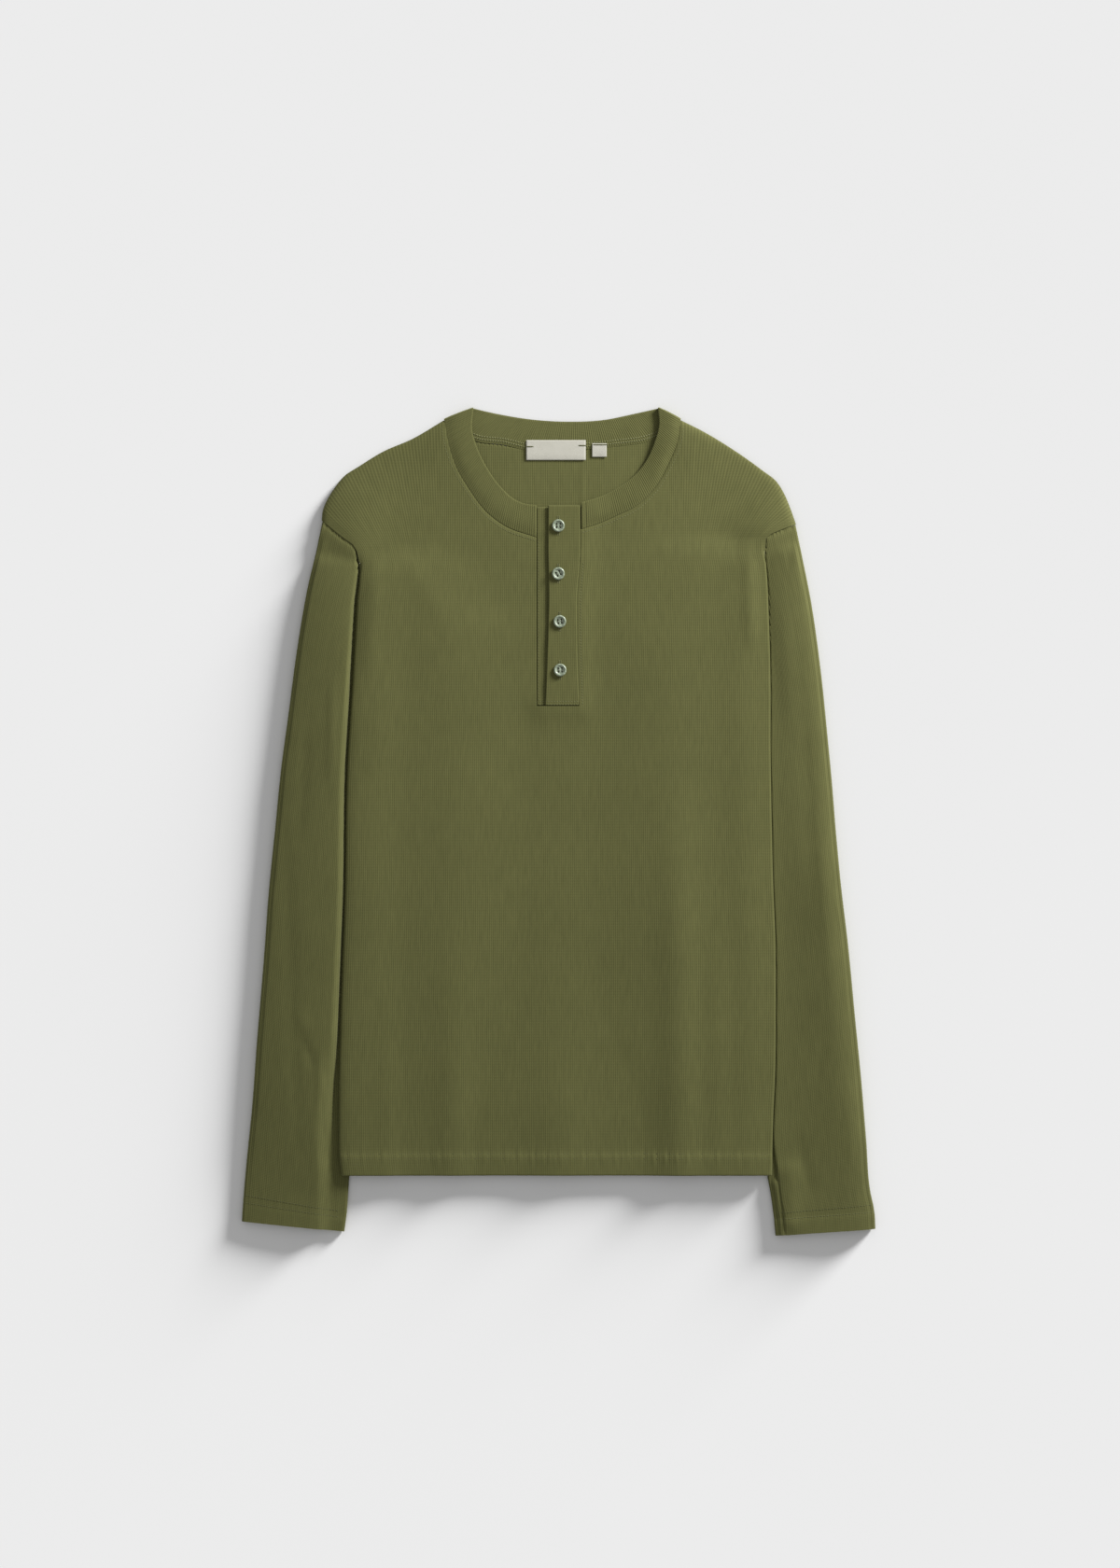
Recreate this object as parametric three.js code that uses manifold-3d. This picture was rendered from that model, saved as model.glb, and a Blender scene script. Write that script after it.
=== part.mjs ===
// A long-sleeved henley shirt of fine rib knit, laid flat on its back with the sleeves beside the body.
// Millimetres. +X is the right of the picture, +Y runs to the neck, +Z is up, and the cloth rests on z = 0.
import * as THREE from 'three';
import { mergeVertices } from 'three/addons/utils/BufferGeometryUtils.js';
import Module from 'manifold-3d';

const wasm = await Module();
wasm.setup();

// Cloth and seams
const CLOTH = 1.5; // wall of one layer of rib knit
const HEM_CLOTH = 2.3; // turned hem and cuffs, two layers
const BAND = 2.0; // neckband and placket strips, sewn double
const TAPE = 1.0; // woven labels
const LAYER_GAP = 0.5; // air between two panels that lie on each other
const SEAM_GAP = 0.4; // between two pieces that are sewn edge to edge
const REST_GAP = 0.3; // between a piece and what it lies on

// Body
const HEM_Y = -322;
const HEM_DEPTH = 17.5;
const FLAP = 14; // how far the front is turned under at each side
const FLAP_FROM = 30; // below the armpit, where the turned flap begins to widen
const FLAP_OVER = 50;
const ROLL_FROM = 8; // below the armpit, where the side edge begins to roll under
const ROLL_OVER = 22;
const EDGE_LIFT = 0.8;
const EDGE_LIFT_REACH = 12;
const EDGE_LIFT_OVER = 12; // below the armpit, the height over which this lift begins
const BACK_REST = 14; // the back stays up this far past the tucked sleeve
const BACK_RAMP = 16; // and comes down to the floor over this width
const UNDERARM_ROOM = 14; // the raised part clears the underarm corner by this much in y
const SHELF_FROM = 72; // the front rises over the tucked sleeves from here outwards
const SHELF_OVER = 34; // and over this width
const SHELF_BESIDE = 64; // above the underarm the rise begins this far inside the tucked sleeve
const RAISED_FROM = 4; // above the armpit, where the raised part begins
const RAISED_OVER = 18;
const TUCK_TOP = 3.5; // height of the two sleeve layers under the body
const ARMPIT_PUFF = 3.5; // the cloth stands up where the sleeve turns under
const ARMPIT_PUFF_REACH = 26;
const BACK_SIDE_ROOM = 1.5; // the back's edge stays this far inside the roll where there is no flap
const SHOULDER_BOW = 1.5; // how late the rows of the front take on the line of the shoulder

// Placket
const PLACKET_END_Y = 105.4;
const PLACKET_TOP_Y = 288;
const SLIT_LEFT = -19.9;
const SLIT_RIGHT = 20.6;
const PLACKET_LIFT = 1.9; // the front rises beside the sewn edges of the upper strip
const PLACKET_LIFT_REACH = 14;
const TOP_STRIP_FOOT_X = -12.2; // left corner of the upper strip at its foot
const EDGE_TOLERANCE = 0.01; // points this near an edge count as on it
// The right edge of the slit leans with the placket.
const SLIT_EDGE = [
  { y: 266.6, x: 20.6 },
  { y: 245, x: 19.5 },
  { y: 207, x: 17.0 },
  { y: 175, x: 16.9 },
  { y: 140, x: 17.6 },
  { y: PLACKET_END_Y, x: 18.9 },
];

// Sleeves
const SLEEVE_PUFF = 5.9; // middle of the upper wall where the sleeve is fullest
const OUTER_ROLL = 1.5;
const TUCK_ROLL = 1.0;
const PUFF_REACH = 24;
const SHUT_WITHIN = 4; // at the armpit the sleeve drops under the body over this width
const CREVICE_CLEAR = 2; // and lies low from here on, measured out from the body's edge
const CREVICE = 10; // the sleeve dips over this width before it goes under the body
const LEAST_SHOWN = 10; // width of a sleeve that always shows
const SHUT_ABOVE_HEM = 14; // the dip ends this far below the hem
const SHUT_OVER = 12;
const CUFF_STEP = 1.2; // from the cuff's stitches to its full thickness

// Buttons
const BUTTON_R = 5.8;
const BUTTON_H = 2.5;
const BUTTON_RIM = 1.1;
const BUTTON_DISH = 1.6;
const THREAD_HOLE_R = 0.75;
const THREAD_HOLE_AT = 1.55;
const BUTTONS = [
  { x: -0.2, y: 269.4 },
  { x: -0.2, y: 225.8 },
  { x: 1.1, y: 182.2 },
  { x: 1.4, y: 138.0 },
];

// Neck labels, on the back neck seam
const LABELS = [
  { name: 'neck_label', x0: -29.4, x1: 24.7, y0: 329.4, y1: 347.6 },
  { name: 'size_label', x0: 30.6, x1: 43.8, y0: 332.3, y1: 344.6 },
];

const COLORS = { knit: 0x5f6036, tape: 0xd9d6c8, button: 0xa9b0a0 };

// One row for each place along an outline. slitRowY is where the armpit's row meets the slit.
const LEFT = {
  sign: -1,
  armpit: { x: -184.4, y: 246.2 },
  shoulder: { x: -215.5, y: 273.1 },
  neck: { x: -104.1, y: 365.8 },
  underarm: { x: -122, y: 150 },
  armhole: [
    { x: -215.5, y: 273.1 },
    { x: -205.3, y: 264.6 },
    { x: -194.2, y: 256.1 },
    { x: -187.9, y: 251.9 },
    { x: -184.4, y: 246.2 },
  ],
  tuckedArmhole: [
    { x: -184.4, y: 246.2 },
    { x: -175, y: 215 },
    { x: -152, y: 177 },
    { x: -122, y: 150 },
  ],
  shoulderLine: [
    { x: -215.5, y: 273.1 },
    { x: -214.6, y: 282.5 },
    { x: -205.3, y: 302.0 },
    { x: -194.2, y: 315.6 },
    { x: -182.3, y: 323.3 },
    { x: -160.2, y: 336.9 },
    { x: -133.0, y: 348.8 },
    { x: -104.1, y: 365.8 },
  ],
  bodyEdge: [
    { y: 246.2, x: -183.9 },
    { y: 236.6, x: -181.4 },
    { y: 199.2, x: -183.2 },
    { y: 126.1, x: -187.4 },
    { y: 53.0, x: -192.0 },
    { y: -64.3, x: -194.2 },
    { y: -178.2, x: -198.1 },
    { y: -268.3, x: -199.8 },
    { y: -310.8, x: -198.9 },
    { y: -322, x: -197.4 },
  ],
  sleeveOuter: [
    { y: 273.1, x: -215.5 },
    { y: 240.8, x: -222.3 },
    { y: 219.6, x: -227.4 },
    { y: 160.9, x: -237.6 },
    { y: 96.3, x: -246.1 },
    { y: 53.0, x: -252.0 },
    { y: -5.7, x: -258.0 },
    { y: -64.3, x: -263.9 },
    { y: -123.0, x: -268.2 },
    { y: -204.6, x: -275.0 },
    { y: -261.5, x: -279.2 },
    { y: -303.2, x: -283.5 },
    { y: -343.1, x: -287.1 },
    { y: -365.0, x: -288.6 },
  ],
  sleeveInner: [
    { y: 150, x: -122 },
    { y: -5, x: -144.6 },
    { y: -178, x: -169.7 },
    { y: -324.4, x: -190.8 },
    { y: -343.1, x: -192.0 },
    { y: -360.1, x: -193.4 },
    { y: -374.0, x: -195.3 },
  ],
  cuffStitch: { outer: -344.0, inner: -359.3 },
  cuffEnd: { outer: -365.0, inner: -374.0 },
  neckSeam: [
    { x: SLIT_LEFT, y: 259.3 },
    { x: -48.5, y: 269.7 },
    { x: -65.0, y: 282.0 },
    { x: -81.2, y: 302.9 },
    { x: -93.9, y: 325.0 },
    { x: -100.7, y: 346.2 },
    { x: -104.1, y: 365.8 },
  ],
  bandEdge: [
    { x: SLIT_LEFT, y: 288.4 },
    { x: -31.9, y: 290.1 },
    { x: -41.2, y: 294.4 },
    { x: -52.3, y: 304.6 },
    { x: -66.7, y: 325.0 },
    { x: -75.2, y: 343.7 },
    { x: -78.6, y: 356.4 },
    { x: -77.5, y: 376.5 },
  ],
  slitRowY: 225,
};
const RIGHT = {
  sign: 1,
  armpit: { x: 189.1, y: 257.8 },
  shoulder: { x: 216.3, y: 269.7 },
  neck: { x: 110.9, y: 365.8 },
  underarm: { x: 126, y: 150 },
  armhole: [
    { x: 216.3, y: 269.7 },
    { x: 202.7, y: 265.0 },
    { x: 191.7, y: 260.0 },
    { x: 189.1, y: 257.8 },
  ],
  tuckedArmhole: [
    { x: 189.1, y: 257.8 },
    { x: 177, y: 219 },
    { x: 155, y: 179 },
    { x: 126, y: 150 },
  ],
  shoulderLine: [
    { x: 216.3, y: 269.7 },
    { x: 211.0, y: 285.0 },
    { x: 205.3, y: 298.6 },
    { x: 198.5, y: 309.7 },
    { x: 185.7, y: 319.9 },
    { x: 159.4, y: 338.6 },
    { x: 131.3, y: 355.6 },
    { x: 110.9, y: 365.8 },
  ],
  bodyEdge: [
    { y: 257.8, x: 188.7 },
    { y: 244.0, x: 187.9 },
    { y: 225.0, x: 189.6 },
    { y: 184.7, x: 191.4 },
    { y: 126.1, x: 192.9 },
    { y: 67.4, x: 192.9 },
    { y: 8.8, x: 193.8 },
    { y: -49.9, x: 195.1 },
    { y: -108.5, x: 197.3 },
    { y: -169.7, x: 197.6 },
    { y: -225.8, x: 197.2 },
    { y: -275.1, x: 195.1 },
    { y: -322, x: 194.2 },
  ],
  sleeveOuter: [
    { y: 269.7, x: 216.3 },
    { y: 240.8, x: 222.3 },
    { y: 204.3, x: 229.5 },
    { y: 140.5, x: 238.4 },
    { y: 81.9, x: 244.4 },
    { y: 38.1, x: 248.6 },
    { y: -14.6, x: 252.9 },
    { y: -58.4, x: 257.1 },
    { y: -108.5, x: 263.1 },
    { y: -178.2, x: 269.9 },
    { y: -233.5, x: 275.4 },
    { y: -289.6, x: 280.1 },
    { y: -338.9, x: 284.3 },
    { y: -352.9, x: 287.4 },
    { y: -371.6, x: 288.6 },
  ],
  sleeveInner: [
    { y: 150, x: 126 },
    { y: -5, x: 147 },
    { y: -178, x: 171 },
    { y: -326.1, x: 190.8 },
    { y: -345.7, x: 194.2 },
    { y: -360.1, x: 196.0 },
    { y: -378.0, x: 197.7 },
  ],
  cuffStitch: { outer: -352.9, inner: -360.1 },
  cuffEnd: { outer: -371.6, inner: -378.0 },
  neckSeam: [
    { x: SLIT_RIGHT, y: 266.6 },
    { x: 37.8, y: 272.3 },
    { x: 53.1, y: 279.1 },
    { x: 68.9, y: 286.7 },
    { x: 87.1, y: 303.7 },
    { x: 100.0, y: 325.8 },
    { x: 109.2, y: 350.0 },
    { x: 110.9, y: 365.8 },
  ],
  bandEdge: [
    { x: SLIT_RIGHT, y: 290.6 },
    { x: 42.1, y: 297.8 },
    { x: 53.1, y: 303.7 },
    { x: 68.4, y: 314.8 },
    { x: 81.2, y: 331.2 },
    { x: 87.1, y: 344.5 },
    { x: 91.4, y: 360.7 },
    { x: 90.5, y: 376.5 },
  ],
  slitRowY: 236,
};
const BACK_NECK = [
  { x: -104.1, y: 365.8 },
  { x: -90.0, y: 354.0 },
  { x: -75.2, y: 347.4 },
  { x: -49.7, y: 344.0 },
  { x: -31.0, y: 339.6 },
  { x: 6.4, y: 339.0 },
  { x: 50.0, y: 342.4 },
  { x: 87.1, y: 348.8 },
  { x: 100.0, y: 355.0 },
  { x: 110.9, y: 365.8 },
];
const BACK_BAND_TOP = [
  { x: -77.5, y: 376.5 },
  { x: -60.8, y: 372.6 },
  { x: -20.0, y: 366.0 },
  { x: 8.9, y: 364.5 },
  { x: 42.1, y: 366.2 },
  { x: 66.0, y: 371.0 },
  { x: 90.5, y: 376.5 },
];

// Soft ridges that run down the front, each leaning from its top to its foot.
const RIDGES = [
  { topX: 172, topY: 262, footX: 176, footY: 150, wide: 7, high: 1.2 },
  { topX: -166, topY: 250, footX: -172, footY: 120, wide: 8, high: 0.9 },
  { topX: 110, topY: 60, footX: 113, footY: -322, wide: 15, high: 1.9 },
  { topX: 2, topY: -150, footX: 3, footY: -322, wide: 14, high: 1.1 },
  { topX: -94, topY: -120, footX: -95, footY: -322, wide: 12, high: 1.1 },
  { topX: -158, topY: -150, footX: -156, footY: -322, wide: 11, high: 0.9 },
];
const RIDGE_TOP_FADE = 4; // a ridge grows over a quarter of its length
const RIDGE_FOOT_FADE = 6;
const RIDGE_FOOT_PAST = 1.15; // and runs past its foot by this share

function smooth(t) {
  const u = Math.min(1, Math.max(0, t));
  return u * u * (3 - 2 * u);
}

function mix(a, b, t) {
  return a + (b - a) * t;
}

// The x of a table whose rows run down in y.
function columnAt(table, y) {
  const last = table.length - 1;
  if (y >= table[0].y) return table[0].x;
  if (y <= table[last].y) return table[last].x;
  const i = table.findIndex((row) => row.y <= y);
  const above = table[i - 1];
  const below = table[i];
  return mix(above.x, below.x, (above.y - y) / (above.y - below.y));
}

// Points spaced evenly along a smooth curve through the rows of a table.
function spaced(table, count) {
  const curve = new THREE.CatmullRomCurve3(
    table.map((p) => new THREE.Vector3(p.x, p.y, 0)),
    false,
    'centripetal',
  );
  return curve.getSpacedPoints(count);
}

function bell(t) {
  return Math.exp(-t * t);
}

function hemCloth(y) {
  return y < HEM_Y + HEM_DEPTH ? HEM_CLOTH : CLOTH;
}

// The tucked edge of a sleeve, from the armpit down.
function tuckedEdgeX(side, y) {
  return columnAt(y > side.underarm.y ? side.tuckedArmhole : side.sleeveInner, y);
}

function raisedBelowArmpit(side, y) {
  return smooth((side.armpit.y + RAISED_FROM - y) / RAISED_OVER);
}

// 1 where the back lies over a tucked sleeve, falling to 0 beside it.
function backOverSleeve(x, y) {
  const side = x < 0 ? LEFT : RIGHT;
  const inward = -side.sign;
  const reaches = [-UNDERARM_ROOM, 0, UNDERARM_ROOM].map((shift) => tuckedEdgeX(side, y + shift) * inward);
  const beside = x * inward - Math.max(...reaches);
  return (1 - smooth((beside - BACK_REST) / BACK_RAMP)) * raisedBelowArmpit(side, y);
}

// 1 where the front lies over a tucked sleeve. It bridges the step more gently than the back.
function frontOverSleeve(x, y) {
  const side = x < 0 ? LEFT : RIGHT;
  const aboveUnderarm = Math.max(side.underarm.y, y - UNDERARM_ROOM);
  const beside = Math.abs(columnAt(side.tuckedArmhole, aboveUnderarm)) - SHELF_BESIDE;
  const shelf = Math.max(SHELF_FROM, beside);
  return smooth((Math.abs(x) - shelf) / SHELF_OVER) * raisedBelowArmpit(side, y);
}

function backMiddle(x, y) {
  return hemCloth(y) / 2 + (TUCK_TOP + REST_GAP) * backOverSleeve(x, y);
}

function edgeX(side, y) {
  return columnAt(side.bodyEdge, y);
}

function slitX(side, y) {
  return side.sign > 0 ? columnAt(SLIT_EDGE, y) : SLIT_LEFT;
}

// How far a point of the front lies from the sewn edges of the upper strip, its right side and its foot.
function fromStrip(x, y) {
  const edge = columnAt(SLIT_EDGE, y);
  const past = Math.max(0, TOP_STRIP_FOOT_X - x, x - edge);
  const overFoot = y > PLACKET_END_Y && x < edge - EDGE_TOLERANCE;
  return Math.hypot(past, overFoot ? y - PLACKET_END_Y : Math.min(0, y - PLACKET_END_Y));
}

function ridgeHeight(x, y) {
  let z = 0;
  for (const r of RIDGES) {
    const t = (r.topY - y) / (r.topY - r.footY);
    const fade = smooth(t * RIDGE_TOP_FADE) * smooth((RIDGE_FOOT_PAST - t) * RIDGE_FOOT_FADE);
    z += r.high * bell((x - mix(r.topX, r.footX, t)) / r.wide) * fade;
  }
  return z;
}

function frontMiddle(x, y) {
  const side = x < 0 ? LEFT : RIGHT;
  const cloth = hemCloth(y);
  const flat = cloth * 1.5 + LAYER_GAP;
  const raised = (TUCK_TOP + REST_GAP) * frontOverSleeve(x, y);
  const fromArmpit = Math.hypot(x - side.armpit.x, y - side.armpit.y);
  const puffed = ARMPIT_PUFF * bell(fromArmpit / ARMPIT_PUFF_REACH);
  const below = smooth((side.armpit.y - y) / EDGE_LIFT_OVER);
  const edge = EDGE_LIFT * bell((x - edgeX(side, y)) / EDGE_LIFT_REACH) * below;
  const placket = PLACKET_LIFT * bell(fromStrip(x, y) / PLACKET_LIFT_REACH);
  return flat + Math.max(raised, puffed) + edge + placket + ridgeHeight(x, y);
}

// A closed wall round a grid of points on its middle surface. Cells that keep() refuses are left open.
// A closed ring joins each row's last point to its first.
function wallFromGrid({ rows, ring = false, thick, keep = () => true }) {
  const rowCount = rows.length - 1;
  const pointsInRow = rows[0].length;
  const cellsInRow = ring ? pointsInRow : pointsInRow - 1;
  const at = (r, c) => r * pointsInRow + (c % pointsInRow);
  const flat = rows.flat();
  const normals = flat.map(() => new THREE.Vector3());
  const inside = (r, c) => {
    if (r < 0 || r >= rowCount) return false;
    if (!ring && (c < 0 || c >= cellsInRow)) return false;
    return keep(r, (c + cellsInRow) % cellsInRow);
  };
  const cells = [];
  for (let r = 0; r < rowCount; r += 1) {
    for (let c = 0; c < cellsInRow; c += 1) {
      if (inside(r, c)) cells.push({ r, c });
    }
  }
  for (const { r, c } of cells) {
    const corners = [at(r, c), at(r, c + 1), at(r + 1, c + 1), at(r + 1, c)];
    const [a, b, d, e] = corners.map((i) => flat[i]);
    const across = new THREE.Vector3().subVectors(d, a);
    const along = new THREE.Vector3().subVectors(e, b);
    const normal = across.cross(along).normalize();
    corners.forEach((i) => normals[i].add(normal));
  }
  const used = new Map();
  const positions = [];
  const outer = (i) => {
    if (!used.has(i)) {
      used.set(i, positions.length / 3);
      const half = thick(flat[i]) / 2;
      const n = normals[i].clone().normalize().multiplyScalar(half);
      positions.push(...flat[i].clone().add(n).toArray());
      positions.push(...flat[i].clone().sub(n).toArray());
    }
    return used.get(i);
  };
  const inner = (i) => outer(i) + 1;
  const faces = [];
  const quad = (a, b, c, d) => faces.push(a, b, c, a, c, d);
  for (const { r, c } of cells) {
    const [p, q, s, t] = [at(r, c), at(r, c + 1), at(r + 1, c + 1), at(r + 1, c)];
    quad(outer(p), outer(q), outer(s), outer(t));
    faces.push(inner(p), inner(s), inner(q), inner(p), inner(t), inner(s));
    if (!inside(r - 1, c)) quad(outer(q), outer(p), inner(p), inner(q));
    if (!inside(r + 1, c)) quad(outer(t), outer(s), inner(s), inner(t));
    if (!inside(r, c - 1)) quad(outer(p), outer(t), inner(t), inner(p));
    if (!inside(r, c + 1)) quad(outer(s), outer(q), inner(q), inner(s));
  }
  const geometry = new THREE.BufferGeometry();
  geometry.setAttribute('position', new THREE.Float32BufferAttribute(positions, 3));
  geometry.setIndex(faces);
  return geometry;
}

const EDGE_HOLD = 0.6; // least width of the turned flap
const HALF_TURN_SAVING = 0.35; // a half-turned edge is narrower, so it hangs clear of the sleeve
const ROLL_STEPS = 4;
const FLAP_STEPS = 1;
const TURN_STEPS = ROLL_STEPS + FLAP_STEPS;
const SIDE_STEPS = 7;
const SLIT_STEPS = 2;
const SEAM_ROWS = 11; // rows that end on the neck seam
const SLIT_ROWS = 2; // rows that end on the slit, between the armpit and the neck seam

// Rows of the body, as heights at the hem end of the placket and below.
const LOWER_ROWS = [
  HEM_Y,
  HEM_Y + HEM_DEPTH - 0.6,
  HEM_Y + HEM_DEPTH + 0.6,
  -270,
  -225,
  -180,
  -135,
  -90,
  -45,
  0,
  40,
  75,
  PLACKET_END_Y,
];
// Shares of the way from the placket's end to the armpit.
const UPPER_SHARES = [0.22, 0.44, 0.62, 0.75, 0.82, 0.88, 0.94, 1];

// Where each row of a front half begins at the side and ends at the slit or neck seam.
function halfRows(side) {
  const rows = LOWER_ROWS.map((y) => ({
    outer: { x: edgeX(side, y), y },
    inner: { x: slitX(side, PLACKET_END_Y), y },
    up: 0,
  }));
  for (const share of UPPER_SHARES) {
    const y = mix(PLACKET_END_Y, side.armpit.y, share);
    const slitY = mix(PLACKET_END_Y, side.slitRowY, share);
    rows.push({
      outer: { x: edgeX(side, y), y },
      inner: { x: slitX(side, slitY), y: slitY },
      up: 0,
    });
  }
  const total = SLIT_ROWS + SEAM_ROWS;
  const armhole = spaced(side.armhole, total).reverse();
  const seam = spaced(side.neckSeam, SEAM_ROWS);
  for (let k = 1; k <= total; k += 1) {
    const onSeam = k >= SLIT_ROWS;
    const slitY = mix(side.slitRowY, side.neckSeam[0].y, k / SLIT_ROWS);
    rows.push({
      outer: armhole[k],
      inner: onSeam ? seam[k - SLIT_ROWS] : { x: slitX(side, slitY), y: slitY },
      up: k / total,
    });
  }
  return rows;
}

// One row of a front half, from the turned flap to the slit or neck seam, on the middle surface.
function halfRow(side, row) {
  const { outer, inner, up } = row;
  const inward = -side.sign;
  const drop = side.armpit.y - outer.y;
  const turned = up > 0 ? 0 : smooth((drop - ROLL_FROM) / ROLL_OVER);
  const flap = FLAP * smooth((drop - FLAP_FROM) / FLAP_OVER);
  const cloth = hemCloth(outer.y);
  const top = frontMiddle(outer.x, outer.y);
  const under = TUCK_TOP + REST_GAP + cloth / 2;
  const radius = turned > 0 ? (top - under) / 2 : (EDGE_LIFT + cloth + LAYER_GAP) / 2;
  const arc = Math.PI * radius * (1 - HALF_TURN_SAVING * Math.sin(Math.PI * turned));
  const bend = Math.PI * turned;
  const hanging = radius * Math.sin(bend) + (arc - bend * radius) * Math.cos(bend);
  const extent = turned < 0.5 ? hanging : radius;
  const start = { x: outer.x + inward * (extent + (turned * cloth) / 2), y: outer.y };
  const shoulder = spaced(side.shoulderLine, SIDE_STEPS);
  const points = [];
  for (let i = TURN_STEPS; i > 0; i -= 1) {
    const along = (arc * Math.min(i, ROLL_STEPS)) / ROLL_STEPS + (i > ROLL_STEPS ? EDGE_HOLD : 0);
    const angle = Math.min(along / radius, bend);
    const past = Math.max(0, along - bend * radius);
    const out = radius * Math.sin(angle) + past * Math.cos(bend);
    const down = radius * (1 - Math.cos(angle)) + past * Math.sin(bend);
    let x = start.x - inward * out;
    let z = top - down;
    if (turned === 0) {
      x = start.x - (inward * arc * i) / TURN_STEPS;
      z = frontMiddle(x, outer.y);
    }
    if (turned === 1 && i === TURN_STEPS) {
      x = start.x + inward * (flap + EDGE_HOLD);
      z = backMiddle(x, outer.y);
    }
    points.push(new THREE.Vector3(x, outer.y, z));
  }
  for (let i = 0; i <= SIDE_STEPS; i += 1) {
    const t = i / SIDE_STEPS;
    const straight = {
      x: mix(start.x, inner.x, t),
      y: mix(outer.y, inner.y, t),
    };
    const between = up > 0 && i > 0 && i < SIDE_STEPS;
    const lean = between ? up ** SHOULDER_BOW * Math.sqrt(Math.sin(Math.PI * t)) : 0;
    const line = shoulder[i];
    const x = mix(straight.x, line.x, lean);
    const y = mix(straight.y, line.y, lean);
    points.push(new THREE.Vector3(x, y, frontMiddle(x, y)));
  }
  return points;
}

function frontPanel() {
  const left = halfRows(LEFT);
  const right = halfRows(RIGHT);
  const rows = left.map((row, k) => {
    const leftPoints = halfRow(LEFT, row);
    const rightPoints = halfRow(RIGHT, right[k]).reverse();
    const a = leftPoints[leftPoints.length - 1];
    const b = rightPoints[0];
    const middle = [];
    for (let i = 1; i < SLIT_STEPS; i += 1) {
      const x = mix(a.x, b.x, i / SLIT_STEPS);
      middle.push(new THREE.Vector3(x, a.y, frontMiddle(x, a.y)));
    }
    return [...leftPoints, ...middle, ...rightPoints];
  });
  const half = TURN_STEPS + SIDE_STEPS;
  const placketRow = LOWER_ROWS.length - 1;
  return wallFromGrid({
    rows,
    thick: (p) => hemCloth(p.y),
    keep: (r, c) => r < placketRow || c < half || c >= half + SLIT_STEPS,
  });
}

const BACK_SHOULDER_STEPS = 6;
const BACK_NECK_STEPS = 14;
const BACK_TOP_ROWS = 7;

function backEdge(side, y) {
  const cloth = hemCloth(y);
  const drop = side.armpit.y - y;
  const flap = FLAP * smooth((drop - FLAP_FROM) / FLAP_OVER);
  const top = frontMiddle(edgeX(side, y), y);
  const radius = (top - TUCK_TOP - REST_GAP - cloth / 2) / 2;
  const plain = BACK_SIDE_ROOM * (1 - flap / FLAP);
  const reach = cloth / 2 + Math.max(radius, 1) + flap + EDGE_HOLD + SEAM_GAP + plain;
  return edgeX(side, y) - side.sign * reach;
}

function backPanel() {
  const steps = 2 * BACK_SHOULDER_STEPS + BACK_NECK_STEPS;
  const rows = [];
  const bodyRows = LOWER_ROWS.map((y) => [y, y]);
  for (const share of UPPER_SHARES) {
    bodyRows.push([LEFT, RIGHT].map((s) => mix(PLACKET_END_Y, s.armpit.y, share)));
  }
  for (const [yLeft, yRight] of bodyRows) {
    const xLeft = backEdge(LEFT, yLeft);
    const xRight = backEdge(RIGHT, yRight);
    const row = [];
    for (let i = 0; i <= steps; i += 1) {
      const x = mix(xLeft, xRight, i / steps);
      const y = mix(yLeft, yRight, i / steps);
      row.push(new THREE.Vector3(x, y, backMiddle(x, y)));
    }
    rows.push(row);
  }
  const leftLine = spaced(LEFT.shoulderLine, BACK_SHOULDER_STEPS);
  const neckLine = spaced(BACK_NECK, BACK_NECK_STEPS);
  const rightLine = spaced(RIGHT.shoulderLine, BACK_SHOULDER_STEPS).reverse();
  const top = [...leftLine, ...neckLine.slice(1), ...rightLine.slice(1)];
  const leftSide = spaced(LEFT.armhole, BACK_TOP_ROWS).reverse();
  const rightSide = spaced(RIGHT.armhole, BACK_TOP_ROWS).reverse();
  const base = rows[rows.length - 1];
  for (let k = 1; k <= BACK_TOP_ROWS; k += 1) {
    const up = k / BACK_TOP_ROWS;
    const row = top.map((point, i) => {
      let x = mix(base[i].x, point.x, up);
      let y = mix(base[i].y, point.y, up);
      if (i === 0) ({ x, y } = leftSide[k]);
      if (i === steps) ({ x, y } = rightSide[k]);
      return new THREE.Vector3(x, y, backMiddle(x, y));
    });
    rows.push(row);
  }
  return wallFromGrid({ rows, thick: (p) => hemCloth(p.y) });
}

const VISIBLE_STEPS = 6;
const TUCKED_STEPS = 4;
const ARC_STEPS = 4;
const FLOOR_STEPS = 6;

// Shares of the way down the outer and the inner edge for each section of a sleeve.
const SLEEVE_SECTIONS = [
  0.015, 0.03, 0.05, 0.075, 0.11, 0.15, 0.2, 0.26, 0.34, 0.42, 0.5, 0.58, 0.66, 0.74, 0.82, 0.88, 0.94, 0.995,
];
const CURVED_TO = 0.3; // share of the sleeve over which its sections lose the curve of the armhole

// Ends of each section across a sleeve, from the armhole to the cuff, on the outer and inner edge.
function sleeveSections(side) {
  const topOuter = side.shoulder.y;
  const topInner = side.underarm.y;
  const { cuffStitch, cuffEnd } = side;
  const pairs = SLEEVE_SECTIONS.map((share) => [
    mix(topOuter, cuffStitch.outer, share),
    mix(topInner, cuffStitch.inner, share),
    1 - smooth(share / CURVED_TO),
  ]);
  pairs.push([cuffStitch.outer - CUFF_STEP, cuffStitch.inner - CUFF_STEP, 0]);
  pairs.push([cuffEnd.outer, cuffEnd.inner, 0]);
  return pairs.map(([yOuter, yInner, curved]) => ({
    outer: { x: columnAt(side.sleeveOuter, yOuter), y: yOuter },
    inner: { x: columnAt(side.sleeveInner, yInner), y: yInner },
    curved,
    cuff: yOuter < cuffStitch.outer,
  }));
}

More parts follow.
